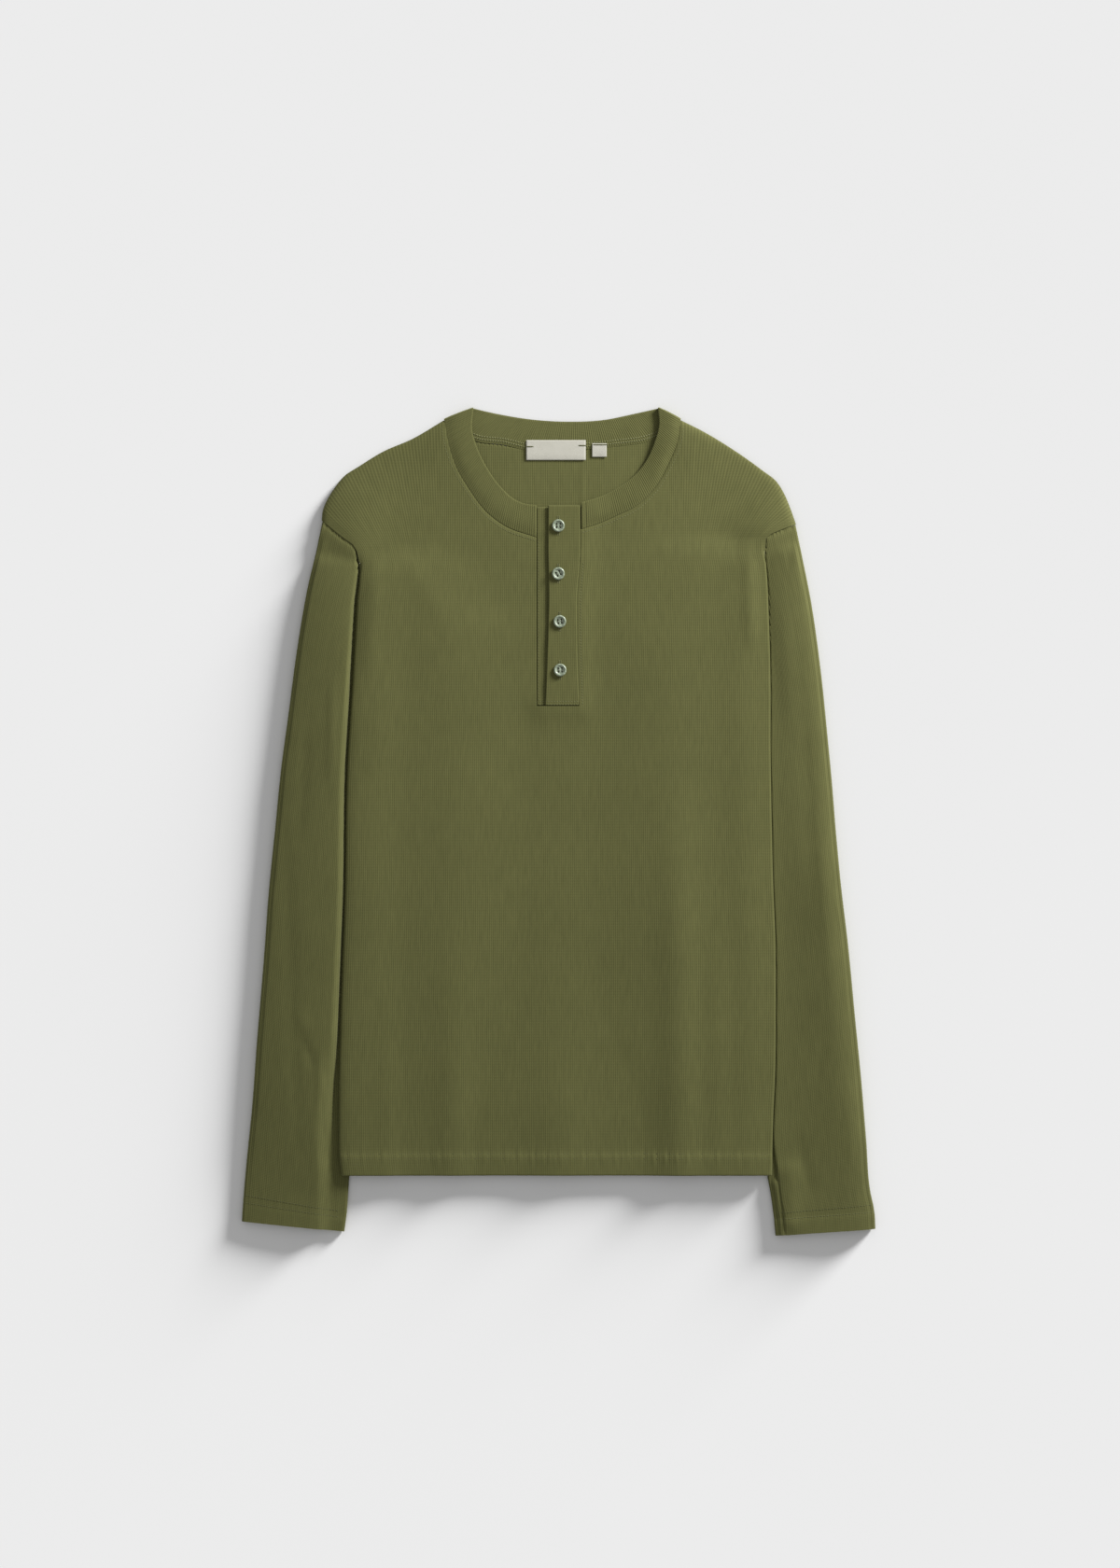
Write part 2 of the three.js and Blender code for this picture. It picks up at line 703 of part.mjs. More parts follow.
// The share of a section at which it passes under the edge of the body.
function crossing(side, placeAt) {
  const beyond = (t) => {
    const p = placeAt(t);
    return (p.x - edgeX(side, p.y)) * side.sign - CREVICE_CLEAR;
  };
  let low = 0;
  let high = 1;
  for (let i = 0; i < 30; i += 1) {
    const t = (low + high) / 2;
    if (beyond(t) > 0) low = t;
    else high = t;
  }
  return Math.min(0.9, low);
}

// One closed section of a sleeve, on the middle surface, starting at the foot of the outer roll.
function sleeveRing(side, seam, section) {
  const { outer, inner, curved, cuff } = section;
  const cloth = cuff ? HEM_CLOTH : CLOTH;
  const floor = cloth / 2;
  const armhole = curved === 1;
  const placeAt = (t) => {
    const onSeam = seam.getPointAt(Math.min(1, Math.max(0, t)));
    const shiftX = mix(outer.x - side.shoulder.x, inner.x - side.underarm.x, t);
    const shiftY = mix(outer.y - side.shoulder.y, inner.y - side.underarm.y, t);
    return {
      x: mix(mix(outer.x, inner.x, t), onSeam.x + shiftX, curved),
      y: mix(mix(outer.y, inner.y, t), onSeam.y + shiftY, curved),
    };
  };
  const straight = Math.hypot(inner.x - outer.x, inner.y - outer.y);
  const width = mix(straight, seam.getLength(), curved);
  const place = (distance) => placeAt(distance / width);
  const outerRoll = mix(OUTER_ROLL, TUCK_ROLL, curved);
  const innerRoll = TUCK_ROLL;
  const first = cloth / 2 + outerRoll;
  const last = width - cloth / 2 - innerRoll;
  const under = armhole ? section.under : crossing(side, placeAt);
  const meet = Math.max(first + LEAST_SHOWN, under * width);
  const points = [];
  const add = (distance, z) => {
    const p = place(distance);
    points.push(new THREE.Vector3(p.x, p.y, z));
  };
  const upper = (distance) => {
    const p = place(distance);
    if (armhole) return distance <= meet ? frontMiddle(p.x, p.y) : floor + 2 * innerRoll;
    const shut = smooth((p.y - HEM_Y + SHUT_ABOVE_HEM) / SHUT_OVER);
    const swell = smooth((distance - first) / PUFF_REACH);
    const puff = mix(floor + 2 * outerRoll, SLEEVE_PUFF, swell);
    const tucked = smooth(1 - (meet - distance) / CREVICE);
    const inside = smooth(1 - (last - distance) / PUFF_REACH);
    const openEnd = mix(puff, floor + 2 * innerRoll, inside);
    return mix(openEnd, floor + 2 * innerRoll, Math.max(tucked, 0) * shut);
  };
  for (let i = 0; i < ARC_STEPS; i += 1) {
    const angle = (Math.PI * i) / ARC_STEPS;
    add(first - outerRoll * Math.sin(angle), floor + outerRoll * (1 - Math.cos(angle)));
  }
  for (let i = 0; i < VISIBLE_STEPS; i += 1) {
    const distance = mix(first, meet, i / VISIBLE_STEPS);
    const joined = i === 0 ? floor + 2 * outerRoll : upper(distance);
    add(distance, joined);
  }
  add(meet, upper(meet));
  for (let i = 0; i < TUCKED_STEPS; i += 1) {
    const distance = mix(meet + SHUT_WITHIN, last, i / TUCKED_STEPS);
    add(distance, upper(distance));
  }
  for (let i = 0; i < ARC_STEPS; i += 1) {
    const angle = (Math.PI * i) / ARC_STEPS;
    add(last + innerRoll * Math.sin(angle), floor + innerRoll * (1 + Math.cos(angle)));
  }
  for (let i = 0; i < FLOOR_STEPS; i += 1) {
    add(mix(last, first, i / FLOOR_STEPS), floor);
  }
  return points;
}

function sleeve(side) {
  const sections = sleeveSections(side);
  const seam = new THREE.CatmullRomCurve3(
    [...side.armhole, ...side.tuckedArmhole.slice(1)].map(
      (p) => new THREE.Vector3(p.x + side.sign * SEAM_GAP, p.y - SEAM_GAP, 0),
    ),
    false,
    'centripetal',
  );
  const shown = new THREE.CatmullRomCurve3(
    side.armhole.map((p) => new THREE.Vector3(p.x, p.y, 0)),
  );
  const first = {
    outer: side.shoulder,
    inner: side.underarm,
    cuff: false,
    curved: 1,
    under: shown.getLength() / seam.getLength(),
  };
  let rows = [first, ...sections].map((s) => sleeveRing(side, seam, s));
  if (side.sign < 0) rows = rows.map((row) => [...row].reverse());
  const cuffRow = sections.findIndex((s) => s.cuff) + 1;
  const cuffPoints = new Set(rows.slice(cuffRow).flat());
  return wallFromGrid({
    rows,
    ring: true,
    thick: (p) => (cuffPoints.has(p) ? HEM_CLOTH : CLOTH),
  });
}

const BAND_STEPS = 3;
const FOLD_STEPS = 3;
const BACK_BAND_Z = BAND / 2;
const FRONT_BAND_Z = BACK_BAND_Z + BAND + REST_GAP + 0.1;
const BAND_END_Z = 3.05; // the band lies lower at the placket
const BAND_RISE = 1.6; // and reaches its full height before the shoulder
const BAND_LIFT_FADE = 4; // its right end is lifted with the placket, over a quarter of its length

// Stations of the front neckband on one side, from the placket up to the shoulder.
function frontBandStations(side) {
  const seam = spaced(side.neckSeam, SEAM_ROWS);
  const edge = spaced(side.bandEdge, SEAM_ROWS);
  return seam.map((point, k) => {
    const up = k / SEAM_ROWS;
    const end = side.sign > 0 ? PLACKET_LIFT * (1 - smooth(up * BAND_LIFT_FADE)) : 0;
    const z = mix(BAND_END_Z, FRONT_BAND_Z, smooth(up * BAND_RISE)) + end;
    return { seam: point, edge: edge[k], z };
  });
}

function neckband() {
  const left = frontBandStations(LEFT);
  const right = frontBandStations(RIGHT).reverse();
  const backSeam = spaced(BACK_NECK, BACK_NECK_STEPS);
  const backEdgeLine = spaced(BACK_BAND_TOP, BACK_NECK_STEPS);
  const back = backSeam.map((point, k) => ({ seam: point, edge: backEdgeLine[k], z: BACK_BAND_Z }));
  const roll = (station, upward) => {
    const radius = (FRONT_BAND_Z - BACK_BAND_Z) / 2;
    const out = [];
    for (let i = 1; i < FOLD_STEPS; i += 1) {
      const angle = (Math.PI * i) / FOLD_STEPS;
      const turn = upward ? Math.PI - angle : angle;
      out.push({
        ...station,
        z: BACK_BAND_Z + radius * (1 + Math.cos(turn)),
        push: radius * Math.sin(angle),
      });
    }
    return out;
  };
  const stations = [
    ...left,
    ...roll(left[left.length - 1], false),
    ...back,
    ...roll(right[0], true),
    ...right,
  ];
  const rows = stations.map(({ seam, edge, z, push = 0 }) => {
    const across = new THREE.Vector3(edge.x - seam.x, edge.y - seam.y, 0);
    const length = across.length();
    across.normalize();
    const away = new THREE.Vector3(-across.y, across.x, 0).multiplyScalar(push);
    if (away.y < 0) away.negate();
    const row = [];
    for (let i = 0; i <= BAND_STEPS; i += 1) {
      const distance = mix(SEAM_GAP, length, i / BAND_STEPS);
      row.push(
        new THREE.Vector3(seam.x, seam.y, z).addScaledVector(across, distance).add(away),
      );
    }
    return row;
  });
  return wallFromGrid({ rows, thick: () => BAND });
}

// A strip of the placket, between its left and right edge.
function strip({ edges, middle, cloth }) {
  const rows = edges.map(({ y, x0, x1 }) =>
    [0, 0.5, 1].map((t) => new THREE.Vector3(mix(x0, x1, t), y, middle)),
  );
  return wallFromGrid({ rows, thick: () => cloth });
}

const UNDER_STRIP_Z = CLOTH * 1.5 + LAYER_GAP;
const TOP_STRIP_Z = UNDER_STRIP_Z + CLOTH / 2 + REST_GAP + BAND / 2;
const UNDER_STRIP_RIGHT = 15;
const UNDER_STRIP_TOP = PLACKET_TOP_Y - 1.5;
const UNDER_STRIP = [PLACKET_END_Y + SEAM_GAP, 150, 200, 250, UNDER_STRIP_TOP].map((y) => ({
  y,
  x0: SLIT_LEFT + SEAM_GAP,
  x1: UNDER_STRIP_RIGHT,
}));
const TOP_STRIP = [
  { y: PLACKET_END_Y + SEAM_GAP, x0: TOP_STRIP_FOOT_X },
  { y: 121.8, x0: -11.4 },
  { y: 140, x0: -10.8 },
  { y: 175, x0: -9.7 },
  { y: 207, x0: -8.9 },
  { y: 245, x0: -9.6 },
  { y: 266.6, x0: -9.5 },
  { y: PLACKET_TOP_Y, x0: -9.4 },
].map(({ y, x0 }) => ({ y, x0, x1: slitX(RIGHT, y) - SEAM_GAP }));

function asManifold(geometry) {
  const bare = geometry.clone();
  bare.deleteAttribute('normal');
  bare.deleteAttribute('uv');
  const merged = mergeVertices(bare, 1e-4);
  const vertProperties = new Float32Array(merged.attributes.position.array);
  const triVerts = new Uint32Array(merged.index.array);
  return new wasm.Manifold(new wasm.Mesh({ numProp: 3, vertProperties, triVerts }));
}

function asGeometry(solid) {
  const { vertProperties, triVerts } = solid.getMesh();
  const geometry = new THREE.BufferGeometry();
  geometry.setAttribute('position', new THREE.BufferAttribute(vertProperties, 3));
  geometry.setIndex(new THREE.BufferAttribute(triVerts, 1));
  return geometry;
}

// A dished round button with four thread holes, standing on z = 0. Its profile gives radius and height.
function button() {
  const profile = [
    [0, 0],
    [BUTTON_R - 0.9, 0],
    [BUTTON_R, 1.0],
    [BUTTON_R - 0.3, BUTTON_H - 0.2],
    [BUTTON_R - 0.8, BUTTON_H],
    [BUTTON_R - BUTTON_RIM - 0.5, BUTTON_DISH],
    [0, BUTTON_DISH],
  ].map(([r, z]) => new THREE.Vector2(r, z));
  const body = new THREE.LatheGeometry(profile, 20).rotateX(Math.PI / 2);
  let solid = asManifold(body);
  for (const sx of [-1, 1]) {
    for (const sy of [-1, 1]) {
      const hole = new THREE.CylinderGeometry(THREAD_HOLE_R, THREAD_HOLE_R, 3 * BUTTON_H, 6);
      hole.rotateX(Math.PI / 2);
      hole.translate(sx * THREAD_HOLE_AT, sy * THREAD_HOLE_AT, 0);
      solid = solid.subtract(asManifold(hole));
    }
  }
  return asGeometry(solid);
}

function label({ x0, x1, y0, y1 }) {
  const plate = new THREE.BoxGeometry(x1 - x0, y1 - y0, TAPE);
  return plate.translate((x0 + x1) / 2, (y0 + y1) / 2, BAND + REST_GAP + TAPE / 2);
}

const knit = new THREE.MeshStandardMaterial({ color: COLORS.knit, roughness: 0.92, metalness: 0 });
const tape = new THREE.MeshStandardMaterial({ color: COLORS.tape, roughness: 0.8, metalness: 0 });
const pearl = new THREE.MeshStandardMaterial({ color: COLORS.button, roughness: 0.3, metalness: 0 });

const shirt = new THREE.Group();

function addPiece(name, geometry, material, place = [0, 0, 0]) {
  const mesh = new THREE.Mesh(geometry, material);
  mesh.name = name;
  mesh.position.set(...place);
  shirt.add(mesh);
}

addPiece('back_panel', backPanel(), knit);
addPiece('front_panel', frontPanel(), knit);
addPiece('sleeve_left', sleeve(LEFT), knit);
addPiece('sleeve_right', sleeve(RIGHT), knit);
addPiece('neckband', neckband(), knit);
addPiece('placket_under', strip({ edges: UNDER_STRIP, middle: UNDER_STRIP_Z, cloth: CLOTH }), knit);
addPiece('placket_top', strip({ edges: TOP_STRIP, middle: TOP_STRIP_Z, cloth: BAND }), knit);
LABELS.forEach((size) => addPiece(size.name, label(size), tape));
const buttonShape = button();
const buttonZ = TOP_STRIP_Z + BAND / 2 + REST_GAP;
BUTTONS.forEach(({ x, y }, i) => {
  addPiece(`button_${i + 1}`, buttonShape.clone(), pearl, [x, y, buttonZ]);
});

export default shirt;
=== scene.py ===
import math
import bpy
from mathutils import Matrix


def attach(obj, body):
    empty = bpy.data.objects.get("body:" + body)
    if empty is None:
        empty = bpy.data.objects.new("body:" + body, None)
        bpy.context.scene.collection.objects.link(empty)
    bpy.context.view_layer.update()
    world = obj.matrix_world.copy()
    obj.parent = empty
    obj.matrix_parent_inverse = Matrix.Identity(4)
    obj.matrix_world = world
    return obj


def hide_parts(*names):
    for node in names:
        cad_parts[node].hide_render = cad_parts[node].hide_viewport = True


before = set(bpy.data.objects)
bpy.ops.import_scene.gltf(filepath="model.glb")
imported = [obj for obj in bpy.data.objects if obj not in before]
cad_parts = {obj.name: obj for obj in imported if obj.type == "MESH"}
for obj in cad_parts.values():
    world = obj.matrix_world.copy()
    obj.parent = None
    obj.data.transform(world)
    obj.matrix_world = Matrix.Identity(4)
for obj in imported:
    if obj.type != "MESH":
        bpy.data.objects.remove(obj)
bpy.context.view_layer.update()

from types import SimpleNamespace

import bmesh
import bpy
import numpy as np
from mathutils import Vector

# A long-sleeved henley shirt of fine rib knit, laid flat on its back.
# Shapes are worked out in millimetres on the same outlines as the frame, and meshes are made in metres.
MM = 0.001
SHARP_ANGLE = math.radians(55)

# Cloth and seams
CLOTH = 1.5
HEM_CLOTH = 2.0  # the turned hems and cuffs
BAND = 2.0
TAPE = 0.8
LAYER_GAP = 0.5
SEAM_GAP = 0.4
REST_GAP = 0.3
RIB_PITCH = 1.8
RIB_COLUMNS = 4  # columns of the mesh to one rib
RIB_RELIEF = 0.062  # half of the height from groove to crest
BAND_RELIEF = 0.17  # the neckband's ribs are bolder
RIB_FADE = 1.2  # the ribs fade out this near a free edge
STEP = RIB_PITCH / RIB_COLUMNS
EDGE_SHARE = 0.3  # share of its thickness that cloth keeps at a free edge

# Body
HEM_Y = -322
HEM_DEPTH = 17.5
HEM_STITCHES = (-301.9, -306.6)
FLAP = 14
FLAP_FROM = 30
FLAP_OVER = 50
ROLL_FROM = 8
ROLL_OVER = 22
EDGE_CREST = 24  # the front swells this far inside its side edges
EDGE_CREST_REACH = 18
EDGE_ROLL_OVER = 11  # beside the left sleeve the front bends down over this width
EDGE_ROLL_FADE = 60
SINK_FROM = -190  # near the hem the left sleeve sinks towards the body
SINK_OVER = 60
SINK_WIDTH = 15
EDGE_ROOM = 0.8
EDGE_TOLERANCE = 0.01
ARMPIT_PUFF = 3.5
ARMPIT_PUFF_REACH = 26
BACK_REST = 14
BACK_RAMP = 16
UNDERARM_ROOM = 14
HEM_RISE = 0.7  # the hem stands up almost as far as over the sleeves, all across
HEM_RISE_FROM = -150
HEM_RISE_OVER = 130
SHOULDER_ROLL = 7  # the front rolls down to the shoulder seam over this width
SHOULDER_LOW = 1.9
SHELF_TO = 108  # the front reaches its height over the tucked sleeves here
SHELF_OVER = 84  # and rises over this width
SHELF_BESIDE = 30  # above the underarm the rise ends this far inside the tucked sleeve
TUCK_LIFT = 3.5 + REST_GAP  # what lies on a tucked sleeve is raised by this
EDGE_HOLD = 0.6
HALF_TURN_SAVING = 0.35

# Placket
PLACKET_END_Y = 105.4
PLACKET_TOP_Y = 288
SLIT_LEFT = -19.9
SLIT_RIGHT = 20.6
PLACKET_LIFT = 1.9  # the front rises beside the sewn edges of the upper strip
PLACKET_LIFT_REACH = 14
STRIP_FOOT_X = -12.2

# Sleeves
OUTER_ROLL = 1.9
TUCK_ROLL = 1.0
SEAM_LAP = 0.5  # the sleeve begins this far inside the armhole seam
SEAM_SINK = 0.8  # the sleeve lies this far under the front along the seam
SEAM_SINK_REACH = 1.8
EDGE_TOP = 0.6  # share of its height that a sleeve has at its outer edge
CURVED_TO = 0.3  # the sections keep some of the armhole's curve over this share of the sleeve

BUTTON_R = 5.8
BUTTON_H = 2.5
BUTTONS = [(-0.2, 269.4), (-0.2, 225.8), (1.1, 182.2), (1.4, 138.0)]
NECK_LABEL = (-29.4, 24.7, 329.4, 347.6)
SIZE_LABEL = (30.6, 43.8, 332.3, 344.6)

# The two sides of the shirt. Outlines are (x, y) from the top of the garment down, or from the placket
# round to the shoulder. The sleeve's height (puff) is given at shares of the width that shows, and clear
# is the room between the body's edge and the place where the sleeve goes under it, at heights y.
LEFT = SimpleNamespace(
    sign=-1,
    slit_y=225,
    puff=[(0, 7.2), (0.15, 8.7), (0.3, 9.9), (0.5, 11.1), (0.7, 11.8), (0.88, 12.0), (1, 11.7)],
    cuff_low=0.7,
    end_reach=30,
    crevice=6.5,
    sink=4.5,
    edge_roll=2.0,
    swell=0.8,
    clear=[
        (1.2, 250), (2.2, 235), (3.0, 205), (2.6, 60), (2.6, -120), (3.4, -200), (6.2, -260), (7.4, -300),
    ],
    band_rise=0.8,
    armhole=[(-215.5, 273.1), (-205.3, 264.6), (-194.2, 256.1), (-187.9, 251.9), (-184.4, 246.2)],
    tucked_armhole=[(-184.4, 246.2), (-175, 215), (-152, 177), (-122, 150)],
    shoulder_line=[
        (-215.5, 273.1), (-214.6, 282.5), (-205.3, 302.0), (-194.2, 315.6),
        (-182.3, 323.3), (-160.2, 336.9), (-133.0, 348.8), (-104.1, 365.8),
    ],
    body_edge=[
        (-183.9, 246.2), (-181.4, 236.6), (-183.2, 199.2), (-187.4, 126.1), (-192.0, 53.0),
        (-194.2, -64.3), (-198.1, -178.2), (-199.8, -268.3), (-198.9, -310.8), (-197.4, -322),
    ],
    sleeve_outer=[
        (-215.5, 273.1), (-222.3, 240.8), (-227.4, 219.6), (-237.6, 160.9), (-246.1, 96.3),
        (-252.0, 53.0), (-258.0, -5.7), (-263.9, -64.3), (-268.2, -123.0), (-275.0, -204.6),
        (-279.2, -261.5), (-283.5, -303.2), (-287.1, -343.1), (-288.6, -365.0),
    ],
    sleeve_inner=[
        (-122, 150), (-144.6, -5), (-169.7, -178), (-190.8, -324.4),
        (-192.0, -343.1), (-193.4, -360.1), (-195.3, -374.0),
    ],
    cuff_stitch=(-344.0, -359.3),
    neck_seam=[
        (SLIT_LEFT, 259.3), (-48.5, 269.7), (-65.0, 282.0), (-81.2, 302.9),
        (-93.9, 325.0), (-100.7, 346.2), (-104.1, 365.8),
    ],
    band_edge=[
        (SLIT_LEFT, 288.4), (-31.9, 290.1), (-41.2, 294.4), (-52.3, 304.6),
        (-66.7, 325.0), (-75.2, 343.7), (-78.6, 356.4), (-77.5, 376.5),
    ],
)
RIGHT = SimpleNamespace(
    sign=1,
    slit_y=236,
    puff=[
        (0, 5.9), (0.06, 6.9), (0.13, 7.6), (0.22, 7.9), (0.35, 7.6), (0.5, 7.0), (0.7, 6.1), (0.88, 5.3),
        (1, 5.0),
    ],
    crevice=1.8,
    cuff_low=0,
    end_reach=4.5,
    sink=0,
    edge_roll=0,
    swell=1.2,
    clear=[(0.6, 258), (0.5, 225), (0.5, -300)],
    band_rise=2.2,
    armhole=[(216.3, 269.7), (202.7, 265.0), (191.7, 260.0), (189.1, 257.8)],
    tucked_armhole=[(189.1, 257.8), (177, 219), (155, 179), (126, 150)],
    shoulder_line=[
        (216.3, 269.7), (211.0, 285.0), (205.3, 298.6), (198.5, 309.7),
        (185.7, 319.9), (159.4, 338.6), (131.3, 355.6), (110.9, 365.8),
    ],
    body_edge=[
        (188.7, 257.8), (187.9, 244.0), (189.6, 225.0), (191.4, 184.7), (192.9, 126.1),
        (192.9, 67.4), (193.8, 8.8), (195.1, -49.9), (197.3, -108.5), (197.6, -169.7),
        (197.2, -225.8), (195.1, -275.1), (194.2, -322),
    ],
    sleeve_outer=[
        (216.3, 269.7), (222.3, 240.8), (229.5, 204.3), (238.4, 140.5), (244.4, 81.9),
        (248.6, 38.1), (252.9, -14.6), (257.1, -58.4), (263.1, -108.5), (269.9, -178.2),
        (275.4, -233.5), (280.1, -289.6), (284.3, -338.9), (287.4, -352.9), (288.6, -371.6),
    ],
    sleeve_inner=[
        (126, 150), (147, -5), (171, -178), (190.8, -326.1),
        (194.2, -345.7), (196.0, -360.1), (197.7, -378.0),
    ],
    cuff_stitch=(-352.9, -360.1),
    neck_seam=[
        (SLIT_RIGHT, 266.6), (37.8, 272.3), (53.1, 279.1), (68.9, 286.7),
        (87.1, 303.7), (100.0, 325.8), (109.2, 350.0), (110.9, 365.8),
    ],
    band_edge=[
        (SLIT_RIGHT, 290.6), (42.1, 297.8), (53.1, 303.7), (68.4, 314.8),
        (81.2, 331.2), (87.1, 344.5), (91.4, 360.7), (90.5, 376.5),
    ],
)
SIDES = (LEFT, RIGHT)
for side in SIDES:
    side.shoulder, side.armpit = side.armhole[0], side.armhole[-1]
    side.underarm, side.neck = side.tucked_armhole[-1], side.shoulder_line[-1]

# The right edge of the slit leans with the placket.
SLIT_EDGE = [(19.5, 300), (19.3, 236), (17.0, 207), (16.9, 175), (17.6, 140), (18.9, PLACKET_END_Y)]
BACK_NECK = [
    (-104.1, 365.8), (-90.0, 354.0), (-75.2, 347.4), (-49.7, 344.0), (-31.0, 339.6),
    (6.4, 339.0), (50.0, 342.4), (87.1, 348.8), (100.0, 355.0), (110.9, 365.8),
]
BACK_BAND_TOP = [
    (-77.5, 376.5), (-60.8, 372.6), (-20.0, 366.0), (8.9, 364.5),
    (42.1, 366.2), (66.0, 371.0), (90.5, 376.5),
]

# Soft folds: x and y of both ends, the half width, the height (below nought for a trough)
# and how fast each end fades, as a share of the length.
BODY_FOLDS = [
    (172, 262, 176, 150, 7, 1.2, 0.25),
    (-166, 250, -172, 120, 8, 0.9, 0.25),
    (108, 90, 113, -500, 19, 3.2, 0.4),
    (-2, -100, 1, -480, 24, 1.8, 0.45),
    (-95, -90, -97, -480, 17, 1.6, 0.45),
    (-156, -110, -155, -480, 12, 1.1, 0.4),
    (143, -40, 147, -480, 12, 1.1, 0.3),
    (-150, 246, -92, 176, 8, 0.5, 0.4),
    (150, 252, 96, 190, 9, 0.5, 0.4),
]
# Soft mounds: a middle (x, y), a reach and a height.
MOUNDS = [(-186, 279, 38, 3.4), (205, 283, 30, 2.2), (112, 352, 24, 2.2), (-106, 352, 22, 1.0)]


def smooth(t):
    u = np.clip(t, 0, 1)
    return u * u * (3 - 2 * u)


def mix(a, b, t):
    return a + (b - a) * t


def bell(t):
    return np.exp(-t * t)


def hermite(knots, values, at):
    """A smooth curve through a few values, with the slope at each taken from its neighbours."""
    knots = np.asarray(knots, float)
    values = np.asarray(values, float)
    slope = np.gradient(values, knots)
    at = np.clip(at, knots[0], knots[-1])
    i = np.clip(np.searchsorted(knots, at, side="right") - 1, 0, len(knots) - 2)
    width = knots[i + 1] - knots[i]
    t = (at - knots[i]) / width
    rise = values[i + 1] - values[i]
    start = slope[i] * width
    end = slope[i + 1] * width
    return values[i] + t * start + t * t * (3 * rise - 2 * start - end) + t ** 3 * (start + end - 2 * rise)


def x_at(outline, y):
    """The x of an outline, whose points run down in y, at each height."""
    points = np.array(outline, float)[::-1]
    return hermite(points[:, 1], points[:, 0], y)


def along(points, shares):
    """Points at shares of the length of a smooth curve through a few points."""
    p = np.array(points, float)
    chord = np.r_[0, np.cumsum(np.hypot(*np.diff(p, axis=0).T))]
    dense = np.linspace(0, chord[-1], 600)
    x, y = (hermite(chord, p[:, i], dense) for i in (0, 1))
    run = np.r_[0, np.cumsum(np.hypot(np.diff(x), np.diff(y)))]
    at = np.asarray(shares) * run[-1]
    return np.stack([np.interp(at, run, x), np.interp(at, run, y)], -1)


def length_of(points):
    p = along(points, np.linspace(0, 1, 300))
    return float(np.hypot(*np.diff(p, axis=0).T).sum())


def fold_height(x, y, folds):
    z = np.zeros(np.broadcast(x, y).shape)
    for x0, y0, x1, y1, wide, high, fade in folds:
        ax, ay = x1 - x0, y1 - y0
        long = math.hypot(ax, ay)
        t = ((x - x0) * ax + (y - y0) * ay) / long ** 2
        off = ((x - x0) * ay - (y - y0) * ax) / long
        z = z + high * bell(off / wide) * smooth(t / fade) * smooth((1 - t) / fade)
    return z


def by_side(x, value):
    """A value worked out for each side of the body, taken from the side that x is on."""
    return np.where(x > 0, value(RIGHT), value(LEFT))


def hem_cloth(y):
    return mix(HEM_CLOTH, CLOTH, smooth((y - HEM_Y - HEM_DEPTH + 3) / 9))


def inner_line(side, y):
    return np.where(y > side.underarm[1], x_at(side.tucked_armhole, y), x_at(side.sleeve_inner, y))


def armpit_fade(side, y):
    return smooth((side.armpit[1] + 4 - y) / 18)


def back_middle(x, y):
    """Height of the back's middle surface, which rises on to the tucked sleeves."""
    def raised(side):
        shifts = (-UNDERARM_ROOM, 0, UNDERARM_ROOM)
        reach = np.max([-side.sign * inner_line(side, y + shift) for shift in shifts], axis=0)
        beside = -side.sign * x - reach
        return (1 - smooth((beside - BACK_REST) / BACK_RAMP)) * armpit_fade(side, y)
    return hem_cloth(y) / 2 + TUCK_LIFT * by_side(x, raised)


def from_strip(x, y):
    """How far a point of the front lies from the upper strip's sewn edges, its right side and its foot."""
    edge = x_at(SLIT_EDGE, y)
    past = np.maximum(0, np.maximum(STRIP_FOOT_X - x, x - edge))
    above = y - PLACKET_END_Y
    over_foot = (above > 0) & (x < edge - EDGE_TOLERANCE)
    return np.hypot(past, np.where(over_foot, above, np.minimum(0, above)))


def front_middle(x, y):
    """Height of the front's middle surface, over the back and the tucked sleeves."""
    x, y = np.broadcast_arrays(np.asarray(x, float), np.asarray(y, float))
    hem_rise = HEM_RISE * smooth((HEM_RISE_FROM - y) / HEM_RISE_OVER)

    def raised(side):
        armpit_x, armpit_y = side.armpit
        above = np.maximum(side.underarm[1], y - UNDERARM_ROOM)
        ends = np.maximum(SHELF_TO, np.abs(x_at(side.tucked_armhole, above)) - SHELF_BESIDE)
        shelf = smooth((np.abs(x) - ends + SHELF_OVER) / SHELF_OVER) * armpit_fade(side, y)
        lying = TUCK_LIFT * np.maximum(shelf, hem_rise)
        puffed = ARMPIT_PUFF * bell(np.hypot(x - armpit_x, y - armpit_y) / ARMPIT_PUFF_REACH)
        inside = np.abs(x - x_at(side.body_edge, y))
        swell = side.swell * bell((inside - EDGE_CREST) / EDGE_CREST_REACH)
        out = 1 - np.clip(inside / EDGE_ROLL_OVER, 0, 1)
        roll = side.edge_roll * np.sqrt(1 - out ** 2) * (1 - smooth(inside / EDGE_ROLL_FADE))
        return np.maximum(lying, puffed) + (swell + roll) * smooth((armpit_y - y) / 40)

    z = hem_cloth(y) * 1.5 + LAYER_GAP + by_side(x, raised)
    z = z + PLACKET_LIFT * bell(from_strip(x, y) / PLACKET_LIFT_REACH)
    for mx, my, reach, high in MOUNDS:
        z = z + high * bell(np.hypot(x - mx, y - my) / reach)
    return z + fold_height(x, y, BODY_FOLDS)


def half_thickness(distance, cloth):
    """Half of the cloth's thickness, drawn in near a free edge so that the edge is round."""
    t = np.clip(distance / (cloth / 2), 0, 1)
    return cloth / 2 * mix(EDGE_SHARE, 1, np.sqrt(1 - (1 - t) ** 2))


def unit(v):
    return v / np.maximum(np.linalg.norm(v, axis=-1, keepdims=True), 1e-9)


def grid_normals(middle, ring):
    if ring:
        wide = np.concatenate([middle[:, -2:], middle, middle[:, :2]], 1)
        across = np.gradient(wide, axis=1)[:, 2:-2]
    else:
        across = np.gradient(middle, axis=1)
    return unit(np.cross(across, np.gradient(middle, axis=0)))


